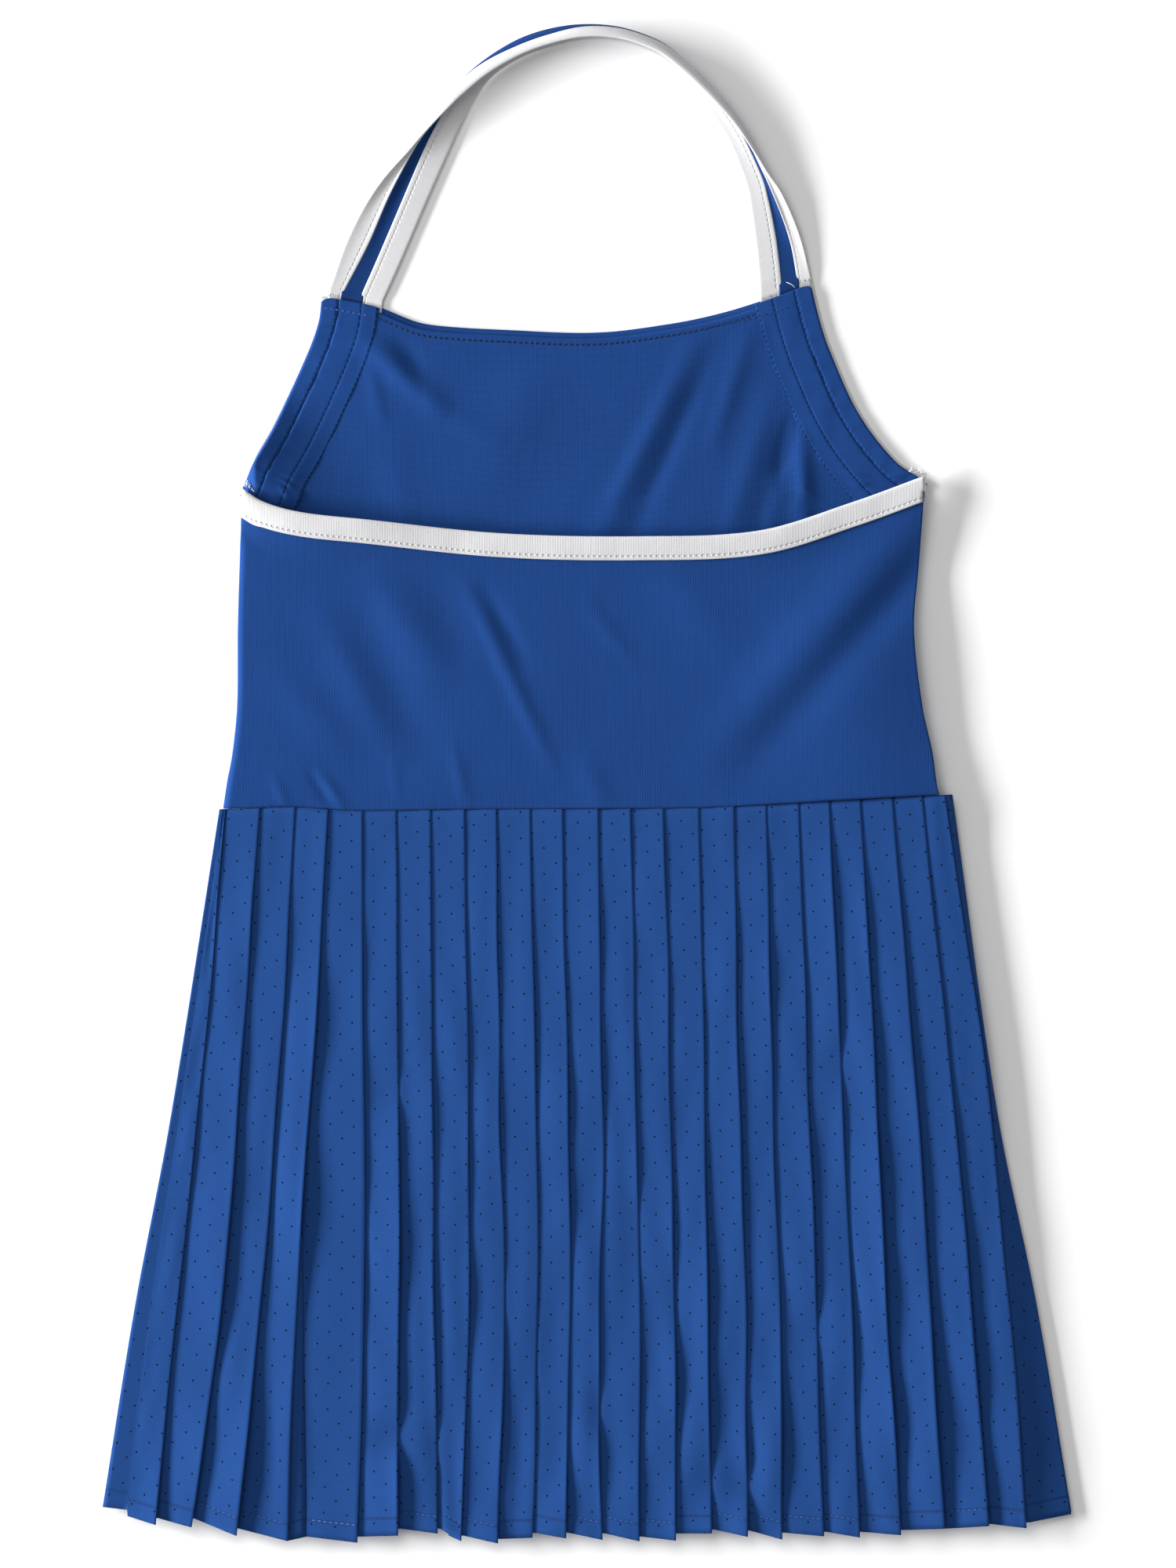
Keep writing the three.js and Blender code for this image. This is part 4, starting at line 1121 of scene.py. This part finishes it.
def makeSkirtBack():
    # knife pleats shingled to the right: each panel starts low under its left neighbour, climbs to its fold,
    # turns back beneath itself and starts the next panel
    s = skirtSettings
    share = rowShares(s["rows"], s["hemTuck"])
    down = share * s["length"]
    table = np.array(folds)
    last = len(folds) - 1
    xs = np.array([smoothThrough(foldShares, row[:4], share) for row in table])
    for i in range(1, last):
        xs[i] += s["wander"] * softNoise(100 + i, down, 0 * down, s["wanderScale"]) * ease(share * 4)
    xs[last] -= s["cornerRound"] * bell(down, s["cornerReach"])
    hem = np.stack([table[:, 4], table[:, 5]], axis=1)
    section = Section(share)
    addSide(section, xs, hem, share)
    panelSpans = []
    for i in range(1, last):
        gap = foldGap(i, share)
        room = s["depthShare"] * (np.minimum(xs[i] - xs[i - 1], xs[i + 1] - xs[i]) - s["depthRoom"])
        depth = np.clip(room, s["depthLow"], s["depth"])
        panelSpans.append(addPanel(section, i, xs, hem, gap, share))
        addReturn(section, i, xs, hem, gap, share, depth)

    # the last panel runs out to the right edge and down to the lower layer
    startX, startZ = section.end()
    seen = np.maximum(xs[last - 1] + s["core"], startX + 0.05)
    hidden = steps(s["hiddenPoints"])
    section.add(mix(column(startX), column(seen), hidden),
                mix(column(startZ), s["base"], ease(hidden)), hem[last, 0])
    startZ = seenLevel(last, startZ)
    firstColumn = section.columns
    t = crowded(steps(s["lastPoints"]), 0.4)
    section.add(mix(column(seen), column(xs[last] - 0.4), t),
                mix(column(startZ), heights["side"], t ** s["endFall"]), mix(hem[last, 0], hem[last, 1], t))
    panelSpans.append((firstColumn, section.columns, last))

    x, z, hemY, u = [section.whole(k) for k in range(4)]
    top = waistY(x) - waistGap
    y = mix(top, hemY, column(share))
    seam = bell(top - y, s["seamReach"])
    z = z - s["seamDip"] * seam * ease((z - s["base"] + 1) / 1)
    z = z + s["waistRise"] * ease(1 - (top - y) / s["waistReach"]) * np.clip((z - 1.6) / 3, 0, 1)
    points = np.stack([x, y, z], axis=-1)
    uv = np.stack([u, y - hemY], axis=-1)
    piece = addSheet("skirtBack", points, uv, thickness["skirt"])
    material = perforatedFinish("skirtCloth", colours["skirt"])
    finishPiece(piece, "skirt_back", material)
    return points, share, panelSpans


frontPleats = {
    "rows": 60, "count": 22, "depth": 6.0, "layer": 0.9, "sideGap": 0.3, "startEarly": 0.6, "endEarly": 0.9,
    "bow": 0.05, "clear": 0.02, "edgeRound": 0.15, "backRound": 0.35, "returnTo": 0.2,
    "hem": -326, "endsHigher": 1, "hemPower": 6, "peek": {"drop": 2.6, "at": 134, "reach": 13},
    # shade: the skirt cloth painted a little darker here, as painted shade
    "shade": 0.98,
}


def makeSkirtFront():
    # the same pleats seen from below: flat panels on the surface, and each fold's spare cloth behind them
    # as a layer out to the right and one back; the hem bends to both ends with a power of the way out
    s, peek = frontPleats, frontPleats["peek"]
    share = rowShares(s["rows"], skirtSettings["hemTuck"])
    left = column(smoothThrough(foldShares, folds[0][:4], share)) + s["sideGap"]
    right = column(smoothThrough(foldShares, folds[-1][:4], share)) - s["sideGap"]
    pitch = (right - left) / (s["count"] + 1)
    layer = s["layer"]
    low = thickness["skirt"] / 2 + s["clear"]
    t = np.linspace(0, 1, 6)[None, :]
    parts = []
    for i in range(s["count"] + 1):
        start = left + pitch * i - (s["startEarly"] if i > 0 else 0)
        fold = left + pitch * (i + 1)
        end = fold - (s["endEarly"] if i < s["count"] else 0)
        parts.append([mix(start, end, t), low + s["bow"] * np.sin(np.pi * t)])
        if i == s["count"]:
            break
        far = fold + s["depth"]
        angle = np.linspace(-np.pi / 2, np.pi / 2, 5)[None, 1:]
        parts.append([end + s["edgeRound"] * layer * np.cos(angle), low + layer + layer * np.sin(angle)])
        parts.append([mix(end, far, np.linspace(0.1, 1, 4)[None, :]), low + 2 * layer])
        angle = np.linspace(np.pi / 2, -np.pi / 2, 4)[None, 1:]
        parts.append([far + s["backRound"] * np.cos(angle), low + 1.5 * layer + layer * 0.5 * np.sin(angle)])
        parts.append([mix(far, fold + s["returnTo"], np.linspace(0.15, 1, 4)[None, :]), low + layer])
    x = np.concatenate([part[0] for part in parts], axis=1)
    z = np.concatenate([part[1] + 0 * part[0] for part in parts], axis=1)
    across = np.clip((x - left) / (right - left), 0, 1)
    ends = np.where(across < 0.5, folds[0][5], folds[-1][5]) + s["endsHigher"]
    hemY = mix(s["hem"], ends, np.abs(2 * across - 1) ** s["hemPower"])
    hemY = hemY - peek["drop"] * bell(x - peek["at"], peek["reach"])
    y = mix(waistY(x) - waistGap, hemY, column(share))
    lengths = np.cumsum(np.hypot(np.diff(x, axis=1), np.diff(z, axis=1)), axis=1)
    u = np.concatenate([0 * left, lengths], axis=1)
    points = np.stack([x, y, z], axis=-1)
    piece = addSheet("skirtFront", points, np.stack([u, y - hemY], axis=-1), thickness["skirt"])
    # painted shade: the front layer is the same skirt cloth painted a little darker
    material = perforatedFinish("skirtFrontCloth", tinted(colours["skirt"], s["shade"]))
    finishPiece(piece, "skirt_front", material)


skirtPoints, skirtShares, skirtPanels = makeSkirtBack()
makeSkirtFront()
print("skirt made")


# halter strap: a blue web between two white bindings, folded along its length and standing a little

strapColumns = ("x", "y", "turn", "low", "inner", "outer", "free", "innerZ", "outerZ", "freeZ")
strapRows = [
    [-114.8, 215.5, -12, 24.7, 14.3, 6.8, 0.6, 0.8, 0.8, 1],
    [-105.5, 241.4, -25, 26.5, 16, 10.4, 0.6, 0.9, 1.4, 1.8],
    [-92.8, 263.8, -33, 24, 13.3, 7.8, 0.8, 1.2, 2.2, 3.2],
    [-77.2, 284.1, -38, 18.1, 7, 3.8, 3, 1.6, 3.4, 5.2],
    [-67.9, 295.9, -40, 14.5, 4, 2.8, 4.2, 2, 4, 6.4],
    [-59, 307.1, -43, 11.7, 2.2, 1.2, 6, 2.4, 4.8, 7.4],
    [-46.9, 317.9, -53, 8.6, 1, 1.8, 6.7, 3, 5.6, 8.4],
    [-31.7, 327.2, -65, 8.3, 0.6, 3.4, 7.3, 3.4, 6.2, 9],
    [-16.6, 332.4, -78, 8.3, 0.6, 3.3, 7.2, 3.6, 6.4, 9.4],
    [-1.4, 334.3, -90, 7.2, 0.6, 1.9, 6.2, 3.6, 6.6, 9.8],
    [14.1, 333.1, -99, 6.6, 0.6, 1.4, 5.6, 3.6, 6.6, 9.8],
    [29, 328.3, -113, 6.4, 0.6, 1.2, 5.2, 3.4, 6.2, 9.4],
    [39, 322.2, -128, 6.4, 0.8, 1, 5, 3, 5.8, 8.8],
    [53.1, 309, -137, 7.4, 1.6, 1, 4.6, 2.6, 5.2, 7.8],
    [68.3, 291, -144, 9.2, 2.6, 1.8, 3.6, 2, 4.4, 6.6],
    [80, 270.7, -149, 12.2, 4, 3.4, 2, 1.6, 3.6, 5.4],
    [86.2, 261, -152, 16.3, 7.2, 5.2, 1.2, 1.3, 2.8, 4.4],
    [92.1, 247.6, -158, 20, 10.1, 5.8, 0.8, 1, 1.9, 3.1],
    [95.9, 236.2, -162, 22.2, 12.1, 6.2, 0.6, 0.9, 1.2, 2],
    [99.3, 221.7, -161, 24.5, 14, 7.2, 0.6, 0.8, 0.8, 1],
]
strapSettings = {
    "stations": 220, "bindingWidth": 10.3, "webWidth": 7.5,
    "bulge": {"low": 0.15, "inner": 0.5, "outer": 0.7}, "floorZ": 0.8, "minInset": 0.6,
    "edgePoints": 19, "crowded": 0.5, "flatness": 14,
    "bindingHalf": 0.55, "webHalf": 0.3, "stitchLine": 2.6, "groove": 0.05, "grooveReach": 0.7,
    "paintedHoleShade": 0.1, "tuckUnder": 4.0, "endReach": 7, "endShare": 0.35,
    "webPoints": 12, "webLow": [0.86, 0.93], "webHigh": [0.07, 0.14], "webOver": 1.5, "webPaintedShade": 0.75,
    "bindingSheet": {"flat": (0.368, 0.0103), "area": 0.0027, "held": "folded", "rests_on": ["strap_web"]},
    "webSheet": {
        "flat": (0.390, 0.0105), "area": 0.0030, "held": "folded", "rests_on": ["strap_binding_inner"],
    },
}


def strapStrip(values, start, end, width, shares):
    # a quadratic curve between two seams, its middle pushed square to their chord by the spare width
    s = strapSettings
    a0, z0, a1, z1 = values[start], values[start + "Z"], values[end], values[end + "Z"]
    chord = np.hypot(a1 - a0, z1 - z0)
    sag = s["bulge"][start] * np.sqrt(3 * chord * np.maximum(width - chord, 0) / 8)
    ma = np.maximum((a0 + a1) / 2 - (z1 - z0) / chord * sag, s["minInset"])
    mz = np.maximum((z0 + z1) / 2 + (a1 - a0) / chord * sag, s["floorZ"])
    t = shares[None, :]
    a = a0[:, None] * (1 - t) ** 2 + 2 * ma[:, None] * t * (1 - t) + a1[:, None] * t * t
    z = z0[:, None] * (1 - t) ** 2 + 2 * mz[:, None] * t * (1 - t) + z1[:, None] * t * t
    return a, z


def makeStrap():
    # three strips between the seams of every section along the path: two bindings as flat tubes, their half
    # wall (1 - |share|^flatness)^0.5 with a groove at the stitches, and the web between them
    s = strapSettings
    place = np.linspace(0, len(strapRows) - 1, s["stations"])
    table = np.array(strapRows, float)
    knots = np.arange(len(strapRows))
    values = {key: smoothThrough(knots, table[:, k], place) for k, key in enumerate(strapColumns)}
    values["lowZ"] = np.full(s["stations"], s["floorZ"])
    turn = np.radians(values["turn"])
    foot = np.stack([values["x"], values["y"]], axis=1)
    inward = np.stack([np.cos(turn), np.sin(turn)], axis=1)

    def plan(a, z):
        # the section's points set square to the strap's path, with both ends run on under the facing
        xy = foot[:, None, :] + inward[:, None, :] * a[..., None]
        xy[0, :, 1] = neckY(xy[0, :, 0]) - s["tuckUnder"]
        xy[-1, :, 1] = neckY(xy[-1, :, 0]) - s["tuckUnder"]
        return np.concatenate([xy, z[..., None]], axis=-1)

    along = pathLength(foot)
    edges = crowded(np.linspace(0, 1, s["edgePoints"]), s["crowded"])
    half = (1 - np.abs(2 * edges - 1) ** s["flatness"]) ** 0.5
    for name, node, start, end, seamAtEnd in (
        ("strapBindingInner", "strap_binding_inner", "low", "inner", True),
        ("strapBindingOuter", "strap_binding_outer", "outer", "free", False),
    ):
        a, z = strapStrip(values, start, end, s["bindingWidth"], edges)
        fromSeam = (1 - edges if seamAtEnd else edges) * s["bindingWidth"]
        groove = 1 - s["groove"] * bell(fromSeam - s["stitchLine"], s["grooveReach"])
        points = plan(a, z)
        uv = np.stack(np.broadcast_arrays(along[:, None], fromSeam[None, :]), axis=-1)
        fromEnd = np.minimum(along, along[-1] - along)[:, None]
        halves = s["bindingHalf"] * half * groove * mix(s["endShare"], 1, ease(fromEnd / s["endReach"]))
        piece = addPillow(name, points, uv, halves)
        material = knitFinish(name + "White", colours["binding"], [s["stitchLine"]], s["paintedHoleShade"])
        finishPiece(piece, node, material)

    # the web runs a little way into both bindings
    a, z = strapStrip(values, "inner", "outer", s["webWidth"], np.linspace(0, 1, s["webPoints"]))
    aLow, zLow = strapStrip(values, "low", "inner", s["bindingWidth"], np.array(s["webLow"]))
    aHigh, zHigh = strapStrip(values, "outer", "free", s["bindingWidth"], np.array(s["webHigh"]))
    points = plan(np.concatenate([aLow, a, aHigh], axis=1), np.concatenate([zLow, z, zHigh], axis=1))
    across = np.linspace(-s["webOver"], s["webWidth"] + s["webOver"], points.shape[1])
    uv = np.stack(np.broadcast_arrays(along[:, None], across[None, :]), axis=-1)
    web = addSheet("strapWeb", points, uv, 2 * s["webHalf"])
    # painted shade: the web is the bodice's knit painted darker, for the shade between the bindings
    material = knitFinish("webKnit", tinted(colours["knit"], s["webPaintedShade"]))
    finishPiece(web, "strap_web", material)


makeStrap()
print("strap made")


# stitches and loose threads

stitchSettings = {"pitch": 2.5, "length": 1.5, "width": 0.34, "height": 0.2, "corners": 6, "look": 0.4}


def stitchTemplate(length, width, height):
    # a small capsule along x: an ellipse whose size follows a flattened half circle
    n = stitchSettings["corners"]
    along = np.linspace(-1, 1, n)
    around = np.linspace(0, 2 * np.pi, n, endpoint=False)
    size = np.sqrt(np.clip(1 - along ** 4, 0.02, 1))
    x = np.broadcast_to(along[:, None] * length / 2, (n, n))
    y = size[:, None] * np.cos(around)[None, :] * width / 2
    z = size[:, None] * np.sin(around)[None, :] * height / 2
    order = list(range(n * n))
    faces = gridFaces(n, n, wrap=True).tolist() + [order[:n], order[:-n - 1:-1]]
    return np.stack([x, y, z], axis=-1).reshape(-1, 3), faces


def alongPath(path, at):
    # the path's points at these running lengths
    length = pathLength(path)
    return np.stack([np.interp(at, length, path[:, k]) for k in range(3)], axis=1)


def stitchRow(name, paths, material, s, lift):
    # one capsule each pitch along every path, turned along it, joined as one mesh
    look = stitchSettings["look"]
    template, faces = stitchTemplate(s["length"], s["width"], s["height"])
    pieces, everyFace, count = [], [], 0
    for path in paths:
        at = np.arange(s["pitch"] * 0.6, pathLength(path)[-1] - s["pitch"] * 0.4, s["pitch"])
        if len(at) == 0:
            continue
        centre = alongPath(path, at)
        forward = alongPath(path, at + look) - alongPath(path, at - look)
        forward /= np.linalg.norm(forward, axis=1, keepdims=True)
        side = np.cross(np.array([0, 0, 1.0]), forward)
        side /= np.linalg.norm(side, axis=1, keepdims=True)
        up = np.cross(forward, side)
        centre = centre + up * lift
        turned = (template[None, :, :1] * forward[:, None] + template[None, :, 1:2] * side[:, None]
                  + template[None, :, 2:] * up[:, None] + centre[:, None])
        pieces.append(turned.reshape(-1, 3))
        offsets = count + np.arange(len(at)) * len(template)
        everyFace += [[corner + int(o) for corner in face] for o in offsets for face in faces]
        count += len(at) * len(template)
    row = addMesh(name, np.concatenate(pieces), everyFace)
    finishPiece(row, None, material)


threadNames = ("blueThread", "lavenderThread", "faintThread", "whiteThread")
threads = {name: threadFinish(name) for name in threadNames}
topStitchSettings = {
    "from": -116.5, "crossing": -96, "to": 91, "below": 5.3, "rightFrom": 55, "rightOver": 40,
    "rightDrop": 2.3, "bandEdge": 26.7, "stepHalf": 0.7, "above": 0.12, "points": 200,
    "stitch": {"pitch": 2.5, "length": 1.4, "width": 0.5, "height": 0.24},
}


def topStitchPath(x0, x1):
    # follows the neckline at a distance, over the strips and the lining
    s = topStitchSettings
    x = np.linspace(x0, x1, s["points"])
    y = neckY(x) - s["below"] - s["rightDrop"] * ease((x - s["rightFrom"]) / s["rightOver"])
    inset = np.minimum(x - armholeX("left", y), armholeX("right", y) - x)
    onStrip = 1 - ease((inset - s["bandEdge"] + s["stepHalf"]) / (2 * s["stepHalf"]))
    z = liningHeight(x, y) + s["above"] + armholeSettings["above"] * onStrip
    return np.stack([x, y, z], axis=1)


def hemPaths(panels):
    # the stitch line on each named panel, from just right of its left neighbour's fold to its own fold
    row = int(np.argmin(np.abs(skirtShares - (1 - skirtSettings["hemTuck"] / skirtSettings["length"]))))
    paths = []
    for first, end, i in skirtPanels:
        if i not in panels:
            continue
        path = skirtPoints[row, first:end]
        shown = path[:, 0] > smoothThrough(foldShares, folds[i - 1][:4], skirtShares[row]) + 0.8
        if i == len(folds) - 1:
            shown &= path[:, 2] > 4.0
        paths.append(path[shown])
    return paths


strongHems = [5]
faintHems = [3, 4, 7, 8, 9, 12, 13, 14, 16, 17, 18, 19, 22]
darkHems = [i for i in range(1, len(folds)) if i not in strongHems + faintHems]
for name, panels, thread, lift in (
    ("hemStitchesPale", strongHems, "lavenderThread", 0.18),
    ("hemStitchesFaint", faintHems, "faintThread", 0.16),
    ("hemStitchesBlue", darkHems, "blueThread", 0.16),
):
    stitchRow(name, hemPaths(panels), threads[thread], stitchSettings, lift)
for name, start, end, thread, lift in (
    ("topStitchesPale", topStitchSettings["from"], topStitchSettings["crossing"], "faintThread", 0.12),
    ("topStitchesBlue", topStitchSettings["crossing"] + 1, topStitchSettings["to"], "blueThread", 0.08),
):
    path = topStitchPath(start, end)
    stitchRow(name, [path], threads[thread], topStitchSettings["stitch"], lift)


looseSettings = {"points": 9, "around": 5, "arch": 0.5, "endSize": 0.05}
# groups of threads beside a line: x0, y0, x1, y1, z, count, turn
frays = {
    "overlockFray": {
        "thread": "whiteThread", "slot": "white_binding",
        "seed": 61, "spread": 1.0, "length": (1.4, 3.0), "bend": 3.2, "radius": 0.17,
        "groups": [[-150.8, 131.4, -146.4, 128.0, 6.6, 8, 75], [141.0, 137.0, 148.4, 136.0, 5.4, 9, 75]],
    },
    "blueFray": {
        "thread": "blueThread", "slot": "bodice_knit",
        "seed": 62, "spread": 0.8, "length": (0.8, 2.0), "bend": 2.0, "radius": 0.12,
        "groups": [
            [-150.0, 130.6, -146.0, 128.0, 6.8, 5, 60], [143.0, 137.0, 149.4, 135.0, 5.6, 6, 60],
            [92.6, 219.4, 98.4, 221.2, 2.2, 6, 80], [-114.6, 214.4, -108.8, 213.6, 2.2, 7, 90],
            [77.0, 212.6, 83.0, 214.4, 1.8, 2, 150],
        ],
    },
    "strayThread": {
        "thread": "whiteThread", "slot": "white_binding",
        "seed": 63, "spread": 0.1, "length": (4.6, 4.8), "bend": 1.2, "radius": 0.15,
        "groups": [[87.4, 220.4, 87.6, 220.4, 2.4, 1, -30]],
    },
}


def looseThread(x, y, z, turn, length, bend, radius):
    # a thin round tube along an arc that also lifts in the middle as a half sine
    s = looseSettings
    t = np.linspace(0, 1, s["points"])
    angle = turn + bend * (t - 0.5)
    step = length / (s["points"] - 1)
    px = x + np.concatenate([[0], np.cumsum(np.cos(angle[1:]) * step)])
    py = y + np.concatenate([[0], np.cumsum(np.sin(angle[1:]) * step)])
    pz = z + s["arch"] * np.sin(np.pi * t)
    around = np.linspace(0, 2 * np.pi, s["around"], endpoint=False)[None, :]
    across = np.stack([-np.sin(angle), np.cos(angle)], axis=1)
    size = radius * np.sqrt(np.clip(1 - np.abs(2 * t - 1) ** 6, s["endSize"], 1))[:, None]
    x = px[:, None] + across[:, :1] * np.cos(around) * size
    y = py[:, None] + across[:, 1:] * np.cos(around) * size
    return np.stack([x, y, pz[:, None] - np.sin(around) * size], axis=-1).reshape(-1, 3)


def makeFray(name, s):
    # each group scatters threads beside its line, turned at random about its direction
    n, around = looseSettings["points"], looseSettings["around"]
    order = list(range(n * around))
    faces = gridFaces(n, around, wrap=True).tolist() + [order[:around][::-1], order[-around:]]
    rng = np.random.default_rng(s["seed"])
    pieces = []
    for x0, y0, x1, y1, z, count, turn in s["groups"]:
        for share in (np.arange(count) + 0.5) / count:
            angle = math.radians(turn) + rng.uniform(-s["spread"], s["spread"])
            length = rng.uniform(*s["length"])
            bend = rng.uniform(-s["bend"], s["bend"])
            x, y = mix(x0, x1, share), mix(y0, y1, share)
            pieces.append(looseThread(x, y, z, angle, length, bend, s["radius"]))
    everyFace = [[corner + k * len(order) for corner in face] for k in range(len(pieces)) for face in faces]
    piece = addMesh(name, np.concatenate(pieces), everyFace)
    finishPiece(piece, None, threads[s["thread"]])


for name, settings in frays.items():
    makeFray(name, settings)
print("stitches made")


# floor and light

lightSettings = {
    "world": 0.37,
    "lights": [
        {"name": "window", "turn": 176, "rise": 14, "distance": 4.0, "wide": 3.0, "high": 0.75,
         "power": 500},
        {"name": "ceiling", "turn": 135, "rise": 50, "distance": 2.6, "wide": 1.6, "high": 1.6, "power": 17},
    ],
}


floorSettings = {"reach": 30, "below": 0.2, "colour": (0.97, 0.97, 0.972), "roughness": 1.0}


def makeLights(s):
    # a flat white world, and each lamp at its distance along a turn and a rise in degrees, facing the dress
    scene = bpy.context.scene
    scene.view_settings.view_transform = "Standard"
    world = bpy.data.worlds.new("studio")
    world.use_nodes = True
    world.node_tree.nodes["Background"].inputs["Color"].default_value = (1, 1, 1, 1)
    world.node_tree.nodes["Background"].inputs["Strength"].default_value = s["world"]
    scene.world = world
    for light in s["lights"]:
        data = bpy.data.lights.new(light["name"], "AREA")
        data.shape = "RECTANGLE"
        data.size, data.size_y = light["wide"], light["high"]
        data.energy = light["power"]
        lamp = bpy.data.objects.new(light["name"], data)
        turn, rise = math.radians(light["turn"]), math.radians(light["rise"])
        direction = (math.cos(turn) * math.cos(rise), math.sin(turn) * math.cos(rise), math.sin(rise))
        lamp.location = [light["distance"] * value for value in direction]
        lamp.rotation_euler = (math.pi / 2 - rise, 0, turn + math.pi / 2)
        lamp.visible_camera = False
        scene.collection.objects.link(lamp)


def makeFloor(s):
    # one white square just below the dress
    reach, z = s["reach"], -s["below"] * mm
    mesh = bpy.data.meshes.new("floor")
    corners = [(-reach, -reach, z), (reach, -reach, z), (reach, reach, z), (-reach, reach, z)]
    mesh.from_pydata(corners, [], [(0, 1, 2, 3)])
    floor = bpy.data.objects.new("floor", mesh)
    bpy.context.scene.collection.objects.link(floor)
    material = bpy.data.materials.new("floorWhite")
    material.use_nodes = True
    shader = material.node_tree.nodes["Principled BSDF"]
    shader.inputs["Base Color"].default_value = (*s["colour"], 1)
    shader.inputs["Roughness"].default_value = s["roughness"]
    shader.inputs["Specular IOR Level"].default_value = 0.0
    mesh.materials.append(material)


makeLights(lightSettings)
makeFloor(floorSettings)
print("floor and lights placed")
